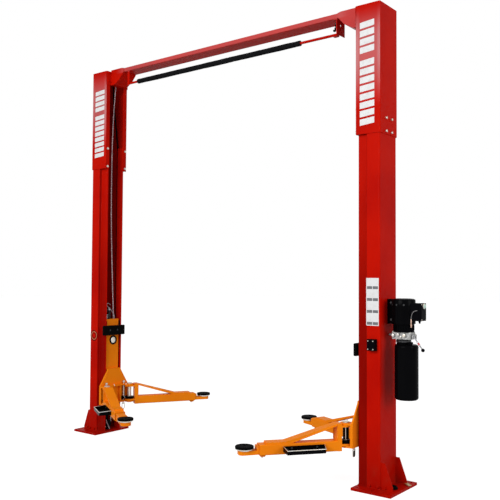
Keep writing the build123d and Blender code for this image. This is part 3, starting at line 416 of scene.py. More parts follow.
def rounded(mesh, made, width, segments):
    """Rounds every edge of a shape that was just made."""
    edges = list({edge for vert in made["verts"] for edge in vert.link_edges})
    bmesh.ops.bevel(mesh, geom=edges, offset=width, offset_type="OFFSET", affect="EDGES",
                    segments=segments, profile=0.5, material=-1, clamp_overlap=True)


def box(mesh, low, high, edge=0.001, segments=2):
    """A block between two corners with rounded edges."""
    low, high = Vector(low), Vector(high)
    size = Matrix.Diagonal((*(high - low), 1))
    made = bmesh.ops.create_cube(mesh, size=1, matrix=Matrix.Translation((low + high) / 2) @ size)
    rounded(mesh, made, edge, segments)


def turned(mesh, profile, place, axis=UP, steps=32):
    """Lathe work: pairs of height and radius, spun about the axis through place."""
    fresh = bmesh.new()
    verts = [fresh.verts.new((radius, 0, height)) for height, radius in profile]
    edges = [fresh.edges.new(pair) for pair in zip(verts, verts[1:])]
    bmesh.ops.spin(fresh, geom=verts + edges, cent=(0, 0, 0), axis=UP, angle=tau,
                   steps=steps, use_merge=True)
    bmesh.ops.remove_doubles(fresh, verts=fresh.verts, dist=1e-6)
    bmesh.ops.recalc_face_normals(fresh, faces=fresh.faces)
    bmesh.ops.transform(fresh, matrix=stand(place, axis), verts=fresh.verts)
    put_into(mesh, fresh)


def lathe_piece(name, profile, place, axis, steps, finish, body, sharp=35):
    """A piece of one turned shape."""
    mesh = bmesh.new()
    turned(mesh, profile, place, axis, steps)
    finished(name, mesh, finish, body, sharp)


def put_into(mesh, other):
    """Adds one mesh to another."""
    data = bpy.data.meshes.new("passing")
    other.to_mesh(data)
    other.free()
    mesh.from_mesh(data)
    bpy.data.meshes.remove(data)


def hexagon(mesh, place, axis, across, height, edge=0.0008):
    """A six-sided nut or head standing on place."""
    at = stand(place, axis) @ Matrix.Translation((0, 0, height / 2))
    made = bmesh.ops.create_cone(mesh, cap_ends=True, segments=6, radius1=across * 0.577,
                                 radius2=across * 0.577, depth=height, matrix=at)
    rounded(mesh, made, edge, 2)


def bolt(mesh, place, axis, across, height=None, washer=True):
    """A hexagon head, with a washer under it or without."""
    height = height or across * 0.55
    rise = across * 0.12 if washer else 0.0
    if washer:
        turned(mesh, [(0, 0), (0, across * 0.92), (rise, across * 0.9), (rise, 0)], place, axis, 24)
    hexagon(mesh, Vector(place) + Vector(axis).normalized() * rise, axis, across, height)


def round_screw(mesh, place, axis, radius):
    """A low domed head with a round recess in its top."""
    dome = [(0, 0), (0, 1), (0.25, 0.97), (0.5, 0.75), (0.62, 0.4), (0.5, 0.3), (0.3, 0.12), (0.3, 0)]
    turned(mesh, [(rise * radius, out * radius) for rise, out in dome], place, axis, 20)


def line_mesh(points, radius, radii=None, smooth=True, sides=3, caps=True):
    """The mesh of a round bar bent along points, or of its middle line for no radius."""
    curve = bpy.data.curves.new("line", "CURVE")
    curve.dimensions = "3D"
    curve.bevel_depth = radius
    curve.bevel_resolution = sides
    curve.use_fill_caps = caps
    spline = curve.splines.new("NURBS" if smooth else "POLY")
    spline.points.add(len(points) - 1)
    for point, place in zip(spline.points, points):
        point.co = (*place, 1)
    for point, share in zip(spline.points, radii or []):
        point.radius = share
    if smooth:
        spline.order_u = 3
        spline.use_endpoint_u = True
        spline.resolution_u = 8
    obj = bpy.data.objects.new("line", curve)
    into_scene(obj)
    data = bpy.data.meshes.new_from_object(obj)
    bpy.data.objects.remove(obj)
    bpy.data.curves.remove(curve)
    return data


def bent_bar(mesh, points, radius, **options):
    """Adds a round bar bent along points."""
    data = line_mesh(points, radius, **options)
    mesh.from_mesh(data)
    bpy.data.meshes.remove(data)


def weld(mesh, points, radius=0.004, pitch=0.0045):
    """A bead laid in ripples along a run of corners."""
    stops, swell = [], []
    for start, end in zip(points, points[1:]):
        start, end = Vector(start), Vector(end)
        count = max(2, int((end - start).length / pitch))
        for index in range(count):
            stops.append(start.lerp(end, index / count))
            swell.append(1.0 if len(stops) % 2 else 0.78)
    stops.append(Vector(points[-1]))
    swell.append(0.7)
    bent_bar(mesh, stops, radius, radii=swell, smooth=False, sides=1)


def ring(low, high, inner, outer):
    """The closed outline of a plain ring, for lathe work."""
    return [(low, inner), (low, outer), (high, outer), (high, inner), (low, inner)]


def plate(mesh, corners, way):
    """A flat outline drawn out to a plate."""
    face = mesh.faces.new(corners)
    made = bmesh.ops.extrude_face_region(mesh, geom=[face])
    moved = [item for item in made["geom"] if isinstance(item, bmesh.types.BMVert)]
    bmesh.ops.translate(mesh, verts=moved, vec=way)


def half_turn(mesh, side):
    """Turns a mesh made for the right column to the left one, half round about the middle."""
    if side < 0:
        bmesh.ops.rotate(mesh, verts=mesh.verts, cent=(0, 0, 0), matrix=Matrix.Rotation(pi, 3, "Z"))
    return mesh


# Columns, extensions and beam: x from the middle of the bay, y and z, in metres

COLUMN_FRONT = 1.459
COLUMN_BACK = 1.658
FLANK = 0.137
NECK = 0.11
NECK_STEP = (1.531, 1.551)
GUSSET = 0.118
GUSSET_TOP = 0.213
GUSSET_REACH = 0.094
PLATE_TOP = 0.02
SLEEVE_SIDE = 0.1435
SLEEVE_FRONT = 1.4525
SLEEVE_BACK = 1.6645
SLEEVE_FOOT = 2.695
BRACKET_EDGES = (3.562, 3.694)
FILM_GAP = 0.0001
SIDES = (("right", 1), ("left", -1))


def column_welds(name, side):
    """Beads round the foot of the column and along the gussets."""
    mesh = bmesh.new()
    low = PLATE_TOP + 0.001
    near, far = NECK_STEP
    half = [(COLUMN_FRONT, NECK), (near, NECK), (far, FLANK), (COLUMN_BACK, FLANK)]
    foot = [(x, -y) for x, y in half] + half[::-1]
    weld(mesh, [(x, y, low) for x, y in foot], 0.005)
    back = COLUMN_BACK + 0.001
    for y in (-GUSSET, GUSSET):
        for edge in (-0.005, 0.005):
            weld(mesh, [(back, y + edge, GUSSET_TOP), (back, y + edge, low),
                        (COLUMN_BACK + GUSSET_REACH, y + edge, low)], 0.004)
    finished(name + "_foot_welds", half_turn(mesh, side), "red_paint", "frame")


def foot_bolts(name, side):
    """Painted heads low on the flanks."""
    mesh = bmesh.new()
    for end in (-1, 1):
        for x in (1.574, 1.64):
            bolt(mesh, (x, end * FLANK, 0.04), (0, end, 0), 0.017)
        bolt(mesh, (1.694, end * 0.123, 0.039), (0, end, 0), 0.017)
    finished(name + "_foot_bolts", half_turn(mesh, side), "red_paint", "frame")


def sleeve_trim(name, side):
    """Beads along the brackets of the beam and at the sleeve's foot."""
    mesh = bmesh.new()
    level = SLEEVE_FOOT - 0.001
    for end in (-1, 1):
        y = end * (SLEEVE_SIDE + 0.001)
        weld(mesh, [(SLEEVE_FRONT + 0.002, y, edge) for edge in BRACKET_EDGES], 0.0035)
        for x, inward in ((SLEEVE_FRONT + 0.01, 0.012), (SLEEVE_BACK - 0.01, -0.012)):
            weld(mesh, [(x, y - end * 0.0005, level), (x + inward, y - end * 0.0005, level)], 0.003)
    finished(name + "_sleeve_welds", half_turn(mesh, side), "red_paint", "frame")


def film(mesh, face, left, right, low, high, slant=0.0, thickness=0.0004):
    """A thin sheet on an upright face, with its right side raised by the slant."""
    corners = [(left, face, low), (right, face, low + slant), (right, face, high + slant), (left, face, high)]
    plate(mesh, [mesh.verts.new(corner) for corner in corners], (0, -thickness, 0))


def sleeve_bolts(name, side):
    """Four bolts through the extension's outer wall, near its foot."""
    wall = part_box("right_extension")[1].x
    mesh = bmesh.new()
    for y in (-0.052, 0.038):
        for level in (2.714, 2.816):
            bolt(mesh, (wall, y, level), RIGHT, 0.018, 0.014, washer=False)
    finished(name + "_sleeve_bolts", half_turn(mesh, side), "zinc_steel", "frame")


def sleeve_bars(name, left, right, low, high):
    """A broken white stripe: plain slanted bars with one wider gap."""
    mesh = bmesh.new()
    count, slant, gap_after = 12, 0.012, 8
    pitch = (high - low - slant) / (count + 0.45)
    level = low
    for index in range(count):
        if index == gap_after:
            level += pitch * 0.6
        film(mesh, -SLEEVE_SIDE - FILM_GAP, left, right, level, level + pitch * 0.74, slant)
        level += pitch
    finished(name, mesh, "white_film", "frame", sharp=20)


def blank_panel():
    """A plain white sheet with rows of empty fields and grey bars."""
    face = -FLANK - FILM_GAP
    left, right, low, high = 1.544, 1.649, 1.232, 1.591
    sheet = bmesh.new()
    film(sheet, face, left, right, low, high)
    finished("panel_sheet", sheet, "white_film", "frame", sharp=20)
    bars = bmesh.new()
    rows = 4
    row = (high - low) / rows
    for index in range(rows):
        bottom = low + (index + 0.07) * row
        for x in (left + 0.006, left + 0.055):
            film(bars, face - 0.0004, x, x + 0.044, bottom, bottom + row * 0.24, thickness=0.0002)
    finished("panel_bars", bars, "grey_film", "frame", sharp=20)


def ring_mark():
    """Three plain rings on the left column's flank."""
    place, out = (-1.6, -FLANK - FILM_GAP, 0.983), FORWARD
    for name, finish, inner, outer in (("flank_ring", "black_plastic", 0.0465, 0.0535),
                                       ("flank_middle_ring", "tan_card", 0.037, 0.0415),
                                       ("flank_inner_ring", "black_plastic", 0.024, 0.03)):
        lathe_piece(name, ring(0, 0.0004, inner, outer), place, out, 48, finish, "frame", 30)


def plate_litter():
    """A rubber plug, a black bar and a tan shim that lie on the right base plate."""
    mesh = bmesh.new()
    plug = [(0, 0), (0, 0.034), (0.01, 0.034), (0.022, 0.024), (0.025, 0)]
    turned(mesh, plug, (1.72, -0.046, PLATE_TOP), steps=28)
    bent_bar(mesh, [(1.664, 0.184, 0.03), (1.684, 0.17, 0.031), (1.704, 0.154, 0.03)], 0.011)
    finished("plate_plug", mesh, "black_rubber", "frame")
    strip = bmesh.new()
    bmesh.ops.create_grid(strip, x_segments=14, y_segments=2, size=0.5)
    bmesh.ops.scale(strip, vec=(0.13, 0.026, 1), verts=strip.verts)
    bmesh.ops.solidify(strip, geom=strip.faces[:], thickness=0.004)
    bmesh.ops.rotate(strip, verts=strip.verts, matrix=Matrix.Rotation(radians(-40), 3, "Z"))
    bmesh.ops.translate(strip, verts=strip.verts, vec=(1.745, 0.122, 0.03))
    finished("plate_shim", strip, "tan_card", "frame")


# Ropes and chains

ROPE_X = 1.52
ROPE_TOP = 3.645
ROPE_DROP = 2.499
TAIL_FOOT = 0.08
CHAIN_NEAR = 1.5263
CHAIN_FAR = 1.6178
CHAIN_TOP = 1.238


def route(points):
    """Places along the smooth line that the points draw."""
    data = line_mesh(points, 0.0, caps=False)
    line = [vert.co.copy() for vert in data.vertices]
    bpy.data.meshes.remove(data)
    return line


def strands(mesh, points, radius, pitch=0.075, count=6):
    """Laid wire: strands twisted round the route, and one straight core."""
    line = route(points)
    runs = [(b - a).length for a, b in zip(line, line[1:])]
    places, gone = [], 0.0
    for start, end, length in zip(line, line[1:], runs):
        steps = max(1, round(length / 0.009))
        for index in range(steps):
            places.append((start.lerp(end, index / steps), (end - start).normalized(),
                           gone + length * index / steps))
        gone += length
    places.append((line[-1], (line[-1] - line[-2]).normalized(), gone))
    for strand in range(count):
        helix = []
        for middle, ahead, distance in places:
            turn = tau * (distance / pitch + strand / count)
            side = ahead.cross(Vector((1, 0.2, 0.1))).normalized()
            up = ahead.cross(side)
            helix.append(middle + (side * cos(turn) + up * sin(turn)) * radius * 0.64)
        bent_bar(mesh, helix, radius * 0.36, smooth=False, sides=0)
    bent_bar(mesh, [place for place, _, _ in places], radius * 0.5, smooth=False, sides=0)


def rope(name, side, piece, points, radius):
    """A rope between the frame and the carriage, made for the right side."""
    if side < 0:
        points = [(-x, -y, z) for x, y, z in points]
    mesh = bmesh.new()
    strands(mesh, points, radius)
    obj = finished(f"{name}_{piece}", mesh, "wire_rope", None)
    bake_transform(obj)
    return obj


def hanging_rope(name, side):
    """It bows a little to one side on its way down."""
    points = [(ROPE_X, 0.05 * bow - 0.05, ROPE_TOP - ROPE_DROP * way) for way, bow in
              ((0.0, 0.0), (0.08, 0.45), (0.22, 0.88), (0.42, 1.04), (0.62, 0.92), (0.82, 0.5), (1.0, 0.0))]
    return rope(name, side, "hanging_rope", points, 0.0055)


def rope_tail(name, side):
    """The rope's end below the carriage."""
    points = [(ROPE_X, -0.03, TAIL_FOOT + 0.0625 * step) for step in range(5)]
    return rope(name, side, "rope_tail", points, 0.005)


def leaf_chain(mesh, x, low, high, width=0.024, pitch=0.019):
    """Upright run of a leaf chain: rows of rounded plates on pins."""
    count = 2 * round((high - low) / pitch / 2)
    step = (high - low) / count
    plates = 6
    thick = width / plates
    for link in range(count):
        for plate_index in range(link % 2, plates, 2):
            place = Vector((x, thick * (plate_index + 0.1) - width / 2, low + link * step))
            outline = bmesh.ops.create_circle(mesh, segments=10, radius=0.0052)["verts"]
            bmesh.ops.rotate(mesh, verts=outline, matrix=Matrix.Rotation(pi / 2, 3, "X"))
            upper = [vert for vert in outline if vert.co.z > 0.0001]
            bmesh.ops.translate(mesh, verts=upper, vec=(0, 0, step))
            bmesh.ops.translate(mesh, verts=outline, vec=place)
            plate(mesh, outline, (0, thick * 0.8, 0))
    for link in range(count + 1):
        bmesh.ops.create_cone(mesh, cap_ends=True, segments=8, radius1=0.0028, radius2=0.0028,
                              depth=width + 0.003,
                              matrix=stand((x, 0, low + link * step), (0, 1, 0)))


def chain_pair(name, side):
    """The run up from the carriage and the run down to the base.

    The run from the carriage rises half as far at its upper end as at its lower one. It is made in three
    equal lengths.
    """
    low, lengths = 0.347, 3
    third = (CHAIN_TOP - low) / lengths
    chains = []
    for index in range(lengths):
        top = CHAIN_TOP - index * third
        mesh = bmesh.new()
        leaf_chain(mesh, CHAIN_NEAR, top - third, top)
        obj = finished(f"{name}_carriage_chain_{index + 1}", half_turn(mesh, side), "dark_steel", None)
        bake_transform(obj)
        chains.append(obj)
    far = bmesh.new()
    leaf_chain(far, CHAIN_FAR, 0.022, CHAIN_TOP)
    other = finished(name + "_base_chain", half_turn(far, side), "dark_steel", None)
    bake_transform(other)
    return chains + [other]


def cable_end(name, side):
    """The loose end of the slack line, looped over the top of the post."""
    points = [(1.506, -0.052, 1.15), (1.504, -0.05, 1.185), (1.5, -0.018, 1.222), (1.498, 0.017, 1.258),
              (1.498, 0.05, 1.28), (1.5, 0.064, 1.296), (1.504, 0.052, 1.312), (1.51, 0.024, 1.312),
              (1.516, -0.002, 1.296)]
    mesh = bmesh.new()
    bent_bar(mesh, points, 0.0032, sides=2)
    finished(name + "_slack_line", half_turn(mesh, side), "pale_cable", name + "_lift")


def foot_highlight_line():
    """Painted highlight: a pale line in two short runs and a cap, beside the sheave at the foot of the left
    column.
    """
    x = -1.494
    mesh = bmesh.new()
    for run in (((-0.053, 0.125), (-0.046, 0.1), (-0.034, 0.078)),
                ((-0.03, 0.072), (-0.018, 0.048), (-0.006, 0.026))):
        bent_bar(mesh, [(x, y, z) for y, z in run], 0.0052, smooth=False)
    turned(mesh, [(0, 0), (0, 0.0035), (0.012, 0.0035), (0.012, 0)], (x, -0.036, 0.081), (0, 0.43, -0.9), 16)
    finished("foot_highlight_line", mesh, "pale_cable", "frame")


# Carriages: made for the right column, and turned half round for the left one

POST_FRONT = 1.4398
POST_BACK = 1.4795
POST_EDGE = 0.08
PIN_X, PIN_Y = 1.375, 0.15
PULL_X, PULL_Y = 1.425, 0.115


def bumper_screws(name, side):
    """Two screws in the front of the rubber block."""
    mesh = bmesh.new()
    for y in (0.075, -0.021):
        bolt(mesh, (1.4225, y, 1.042), (-1, 0, 0), 0.009, 0.004)
    finished(name + "_bumper_screws", half_turn(mesh, side), "dark_steel", name + "_lift")


def bumper_cover(name, side):
    """Moulded rubber block with rounded front edges and shallow flutes along it."""
    low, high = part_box(name + "_bumper")
    mesh = bmesh.new()
    shift = Vector((0, 0.016 * side, 0))
    box(mesh, low + shift, high + shift, 0.009, 4)
    face = low.x if side > 0 else high.x
    rib_rise = Vector((0.0012 * side, 0, 0))
    long_edges = [edge for edge in mesh.edges if abs((edge.verts[0].co - edge.verts[1].co).y) > 0.2]
    bmesh.ops.subdivide_edges(mesh, edges=long_edges, cuts=9, use_grid_fill=False)
    bmesh.ops.recalc_face_normals(mesh, faces=mesh.faces)
    front = [part for part in mesh.faces
             if abs(part.normal.x) > 0.99 and abs(part.calc_center_median().x - face) < 0.002]
    bmesh.ops.inset_individual(mesh, faces=front, thickness=0.0035, depth=0.0)
    for part in front:
        bmesh.ops.translate(mesh, verts=part.verts, vec=rib_rise)
    obj = finished(name + "_bumper_block", mesh, "black_rubber", name + "_lift")
    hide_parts(name + "_bumper")


def post_badge():
    """A plain domed disc in a dark rim on the left post."""
    place, out = (-1.4795, 0.013, 0.936), RIGHT
    rim = [(0, 0.031), (0, 0.047), (0.004, 0.047), (0.006, 0.044), (0.006, 0.033), (0.004, 0.031), (0, 0.031)]
    lathe_piece("badge_rim", rim, place, out, 48, "black_plastic", "left_lift", sharp=50)
    radius, rise, steps = 0.0315, 0.006, 8
    shares = [step / steps for step in range(steps, -1, -1)]
    dome = [(0, 0), (0, radius)] + [(0.003 + rise * (1 - share ** 2), radius * share) for share in shares]
    lathe_piece("badge_dome", dome, place, out, 48, "zinc_steel", "left_lift", sharp=60)


def carriage_welds(name, side):
    """Beads between post, flare and housing plates."""
    mesh = bmesh.new()
    for y in (-POST_EDGE, POST_EDGE):
        flare = [(POST_FRONT, y, 0.645), (POST_FRONT, y * 1.28, 0.575), (POST_FRONT, y * 2.27, 0.486)]
        weld(mesh, flare, 0.003)
        weld(mesh, [(POST_BACK, y, 0.65), (POST_BACK, y, 1.148)], 0.0028)
    for level in (0.3145, 0.4695):
        for start, end in ((-0.181, -0.125), (-0.1, 0.1), (0.125, 0.181)):
            weld(mesh, [(1.4392, start, level), (1.4392, end, level)], 0.0035)
    finished(name + "_carriage_welds", half_turn(mesh, side), "orange_paint", name + "_lift")


PIN_CAP = [(0, 0.019), (0, 0.0272), (0.006, 0.0272), (0.0085, 0.0245), (0.0085, 0.012), (0.007, 0.01),
           (0.007, 0)]
PULL_COLLAR = [(0, 0.0075), (0, 0.0134), (0.002, 0.0136), (0.0135, 0.0136), (0.0155, 0.011), (0.0155, 0)]
PIN_SLEEVE = [(0, 0.0202), (0, 0.0225), (0.001, 0.0235), (0.1, 0.0235), (0.101, 0.0225), (0.101, 0.0202),
              (0, 0.0202)]


def pin_caps(name, side):
    """Turned heads of the arm pins with their grooves, and collars and springs of the pull rods."""
    coils, steps, radius = 8, 12, 0.0115
    mesh = bmesh.new()
    for end in (-1, 1):
        turned(mesh, PIN_CAP, (PIN_X, end * PIN_Y, 0.4845), steps=40)
        turned(mesh, PULL_COLLAR, (PULL_X, end * PULL_Y, 0.4975))
        spring = []
        for step in range(coils * steps + 1):
            turn = tau * step / steps
            spring.append((PULL_X + radius * cos(turn), end * PULL_Y + radius * sin(turn),
                           0.372 + 0.095 * step / (coils * steps)))
        bent_bar(mesh, spring, 0.0016, smooth=False, sides=1)
    finished(name + "_pin_caps", half_turn(mesh, side), "zinc_steel", name + "_lift")


def lock_blocks(name, side):
    """Blocks that stop the toothed discs, with a round cut that follows each disc."""
    edge, radius, steps = 0.0942, 0.0515, 6
    mesh = bmesh.new()
    for end in (-1, 1):
        outline = [(1.4378, edge), (1.4378, 0.1358)]
        for step in range(steps + 1):
            turn = radians(-16.0 - 42.0 * step / steps)
            outline.append((PIN_X + radius * cos(turn), PIN_Y + radius * sin(turn)))
        outline.append((1.4022, edge))
        plate(mesh, [mesh.verts.new((x, end * y, 0.3285)) for x, y in outline], (0, 0, 0.0273))
    bmesh.ops.recalc_face_normals(mesh, faces=mesh.faces)
    half_turn(mesh, side)
    finished(name + "_lock_blocks", mesh, "black_paint", name + "_lift", sharp=30)


def pin_sleeves(name):
    """Black sleeves on the pins, each with a bright strip that is a painted highlight, and a tag in the pull
    loop.
    """
    sleeves, highlight_strips, tags = bmesh.new(), bmesh.new(), bmesh.new()
    for end in (-1, 1):
        turned(sleeves, PIN_SLEEVE, (PIN_X, end * PIN_Y, 0.36), steps=36)
        # The bright zinc strip down the front of each sleeve is a painted highlight.
        x, y = PIN_X + 0.0225 * 0.42, end * PIN_Y - 0.0225 * 0.9
        bent_bar(highlight_strips, [(x, y, 0.364), (x, y, 0.458)], 0.0045, smooth=False)
        y = end * PULL_Y
        box(tags, (1.4225, y - 0.0132, 0.222), (1.4275, y + 0.0132, 0.268), 0.002, 3)
    finished(name + "_pin_sleeves", sleeves, "black_plastic", name + "_lift")
    finished(name + "_pin_highlight", highlight_strips, "zinc_steel", name + "_lift")
    finished(name + "_loop_tags", tags, "black_plastic", name + "_lift")


def grease_nipples(name, side):
    """Three nipples on the housing's upper plate."""
    mesh = bmesh.new()
    nipple = [(0, 0), (0, 0.003), (0.003, 0.0022), (0.005, 0.0034), (0.0075, 0.003), (0.009, 0.0012),
              (0.009, 0)]
    for x, y in ((1.345, -0.078), (1.345, 0.078), (1.405, 0.03)):
        hexagon(mesh, (x, y, 0.484), UP, 0.009, 0.004)
        turned(mesh, nipple, (x, y, 0.488), steps=16)
    finished(name + "_grease_nipples", half_turn(mesh, side), "zinc_steel", name + "_lift")


# Arms: side of the bay, end of the carriage, swing from straight across in degrees, and reach out.
# Each arm's pieces are made along +X from its pin.

ARMS = {"left_rear": (-1, 1, 58.0, 0.0), "left_front": (-1, -1, 31.0, 0.145),
        "right_front": (1, -1, 52.0, 0.0), "right_rear": (1, 1, 23.5, 0.01)}


def on_arm(mesh, name):
    """A mesh made along +X from the pin is swung to where that arm points."""
    side, end, swing, _ = ARMS[name]
    turn = swing * end if side < 0 else 180 - swing * end
    at = Matrix.Translation((side * PIN_X, end * PIN_Y, 0)) @ Matrix.Rotation(radians(turn), 4, "Z")
    bmesh.ops.transform(mesh, matrix=at, verts=mesh.verts)
    return mesh


def tray_side(name):
    """1 where the tray is on the arm's left, -1 where it is on the right."""
    side, end, _, _ = ARMS[name]
    return -side * end


def arm_welds(name):
    """Beads along the strut, the doubler, the fork's post and the stop."""
    mesh = bmesh.new()
    doubler, tip, post = 0.452, 0.64, 0.0845
    for y in (-0.044, 0.044):
        weld(mesh, [(0.086, y, 0.473), (doubler, y, 0.3575)], 0.003)
        weld(mesh, [(doubler, y, 0.3565), (tip, y, 0.3565)], 0.003)
    weld(mesh, [(tip, -0.042, 0.357), (tip, 0.042, 0.357)], 0.0035)
    for y in (-0.047, 0.047):
        weld(mesh, [(post, y, 0.358), (post, y, 0.47)], 0.003)
    for x in (0.644, 0.686):
        weld(mesh, [(x, -0.026, 0.2775), (x, 0.026, 0.2775)], 0.003)
    finished(name + "_arm_welds", on_arm(mesh, name), "orange_paint", name + "_outer")


def tray_rim(name):
    """Bright edging along the tray's low outer wall and down its end walls."""
    side = tray_side(name)
    mesh = bmesh.new()
    near, far = side * 0.05, side * 0.16
    bead = [(-0.003, 0), (-0.002, 0.0023), (0, 0.003), (0.002, 0.0023), (0.003, 0)]
    corners = [(0.1895, near, 0.3375), (0.218, far, 0.3285), (0.5145, far, 0.3285), (0.5145, near, 0.3375)]
    for start, end in zip(corners, corners[1:]):
        bent_bar(mesh, [start, end], 0.003, smooth=False, sides=2)
    for corner in corners:
        turned(mesh, bead, corner, steps=12)
    finished(name + "_tray_rim", on_arm(mesh, name), "zinc_steel", name + "_outer")


def tray_mat(name):
    """Ribbed mat on the tray's floor and the two screws that hold the tray to the arm."""
    side = tray_side(name)
    mesh = bmesh.new()
    y0, y1 = sorted((side * 0.054, side * 0.153))
    for step in range(14):
        x = 0.226 + 0.0205 * step
        box(mesh, (x, y0, 0.3012), (x + 0.012, y1, 0.3035), 0.0008, 1)
    finished(name + "_tray_ribs", on_arm(mesh, name), "black_rubber", name + "_outer")
    screws = bmesh.new()
    for x in (0.25, 0.45):
        bolt(screws, (x, side * 0.0512, 0.322), (0, side, 0), 0.01, 0.004)
    finished(name + "_tray_screws", on_arm(screws, name), "dark_steel", name + "_outer")


def pad_parts(name):
    """Rubber disc with turned grooves on a bright dish."""
    place = (0.8 + ARMS[name][3], 0, 0)
    top, groove = 0.348, 0.3458
    profile = [(0.329, 0), (0.329, 0.068), (0.331, 0.07), (0.3445, 0.07), (top, 0.0665)]
    for edge in (0.06, 0.045, 0.03):
        profile += [(top, edge), (groove, edge - 0.001), (groove, edge - 0.004), (top, edge - 0.005)]
    profile += [(top, 0.012), (0.345, 0.01), (0.345, 0)]
    rubber = bmesh.new()
    turned(rubber, profile, place, steps=64)
    obj = finished(name + "_pad_disc", on_arm(rubber, name), "black_rubber", name + "_inner")
    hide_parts(name + "_pad")
    profile = [(0.3135, 0), (0.3135, 0.048), (0.3155, 0.05), (0.3215, 0.05), (0.3225, 0.066),
               (0.3235, 0.0683), (0.3285, 0.069), (0.329, 0.068), (0.329, 0)]
    dish = bmesh.new()
    turned(dish, profile, place, steps=64)
    finished(name + "_pad_dish", on_arm(dish, name), "zinc_steel", name + "_inner")


def arm_stop(name):
    """Stop bolt under the end of the outer arm."""
    mesh = bmesh.new()
    bolt(mesh, (0.665, 0, 0.264), DOWN, 0.017, 0.009)
    finished(name + "_stop_bolt", on_arm(mesh, name), "zinc_steel", name + "_outer")


# Shut-off bar

def padding():
    """Foam sleeve: slightly lumpy, pinched by ties, with rolled ends."""
    low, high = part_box("bar_padding")
    y, z = (low.y + high.y) / 2, (low.z + high.z) / 2
    radius = (high.z - low.z) / 2
    skin = radius - 0.0005
    bore, tie_reach, tie_depth, steps = 0.011, 0.01, 0.0035, 328
    length = high.x - low.x
    ties = [length * share for share in (0.03, 0.22, 0.41, 0.6, 0.79, 0.97)]
    roll = [(0, bore), (0, radius - 0.006), (0.003, radius - 0.002), (0.007, skin)]
    profile = list(roll)
    for step in range(2, steps - 1):
        along = length * step / steps
        pinch = max(0.0, 1 - min(abs(along - tie) for tie in ties) / tie_reach)
        profile.append((along, skin - tie_depth * pinch * pinch))
    profile += [(length - along, out) for along, out in reversed(roll)]
    mesh = bmesh.new()
    turned(mesh, profile, (low.x, y, z), RIGHT, 40)
    for vert in mesh.verts:
        out = Vector((0, vert.co.y - y, vert.co.z - z))
        if out.length > radius * 0.6:
            wave = noise.noise(Vector((vert.co.x * 5, vert.co.y * 14, vert.co.z * 14)))
            fine = noise.noise(Vector((vert.co.x * 22, vert.co.y * 40, vert.co.z * 40)))
            vert.co += out.normalized() * (wave * 0.0022 + fine * 0.001)
    obj = finished("foam_sleeve", mesh, "foam", "bar")
    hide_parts("bar_padding")
    straps = bmesh.new()
    for tie in ties:
        x = low.x + tie
        turned(straps, ring(0, 0.004, 0.0195, 0.0218), (x - 0.002, y, z), RIGHT)
        box(straps, (x - 0.004, y - 0.003, z - 0.025), (x + 0.004, y + 0.003, z - 0.0205), 0.0006, 1)
    finished("foam_ties", straps, "black_plastic", "bar")


def switch_parts():
    """Two screws on the limit switch and the gland of its cable."""
    low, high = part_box("limit_switch")
    mesh = bmesh.new()
    for z in (high.z - 0.008, high.z - 0.036):
        round_screw(mesh, (low.x + 0.018, high.y - 0.0242, z), FORWARD, 0.003)
    finished("switch_screws", mesh, "zinc_steel", "frame")
    gland = [(0, 0), (0, 0.007), (0.01, 0.007), (0.013, 0.004), (0.013, 0)]
    place = (high.x - 0.012, high.y - 0.012, high.z - 0.0005)
    lathe_piece("switch_gland", gland, place, UP, 16, "black_plastic", "frame")


# Power unit and lock covers

MOTOR = Vector((1.786, 0, 0))
FACING = radians(-64.2)
TANK = Vector((1.808, 0, 0))
TANK_RADIUS = 0.0875
BOX_FACE = 1.948
BUTTON_LEVEL = 1.384
WIRE_PLUG = (1.8665, -0.044, 1.2265)
LEVER_START = Vector((1.879, -0.03, 1.16))
LEVER_END = Vector((1.955, -0.034, 1.063))


def motor_shell():
    """Ribbed stator below, fan cover with its slots and screws above."""
    top, slot = 1.438, 1.4355
    profile = [(1.1875, 0), (1.1875, 0.079), (1.197, 0.079), (1.199, 0.0755), (1.24, 0.0755), (1.242, 0.079),
               (1.2495, 0.079), (1.2495, 0.0865), (1.2515, 0.088), (1.262, 0.088), (1.2635, 0.0868),
               (1.38, 0.0868), (1.3815, 0.088), (1.424, 0.088), (1.432, 0.084), (1.4365, 0.074),
               (top, 0.06)]
    for edge in (0.052, 0.034):
        profile += [(top, edge), (slot, edge - 0.002), (slot, edge - 0.008), (top, edge - 0.01)]
    profile.append((top, 0))
    mesh = bmesh.new()
    turned(mesh, profile, MOTOR, steps=96)
    fins = 30
    for fin in range(fins):
        fresh = bmesh.new()
        box(fresh, (0.074, -0.0013, 1.2), (0.0792, 0.0013, 1.239), 0.0005, 1)
        box(fresh, (0.086, -0.0016, 1.266), (0.088, 0.0016, 1.378), 0.0006, 1)
        bmesh.ops.rotate(fresh, verts=fresh.verts, matrix=Matrix.Rotation(tau * fin / fins, 3, "Z"))
        bmesh.ops.translate(fresh, verts=fresh.verts, vec=MOTOR)
        put_into(mesh, fresh)
    obj = finished("motor_shell", mesh, "black_paint", "frame", sharp=30)
    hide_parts("motor")
    screws = bmesh.new()
    for step in (0, 3, 5, 8, 9):
        angle = FACING + radians(36) * step
        out = Vector((cos(angle), sin(angle), 0))
        bolt(screws, MOTOR + out * 0.0875 + Vector((0, 0, 1.392)), out, 0.008, 0.004)
    finished("motor_screws", screws, "dark_steel", "frame")


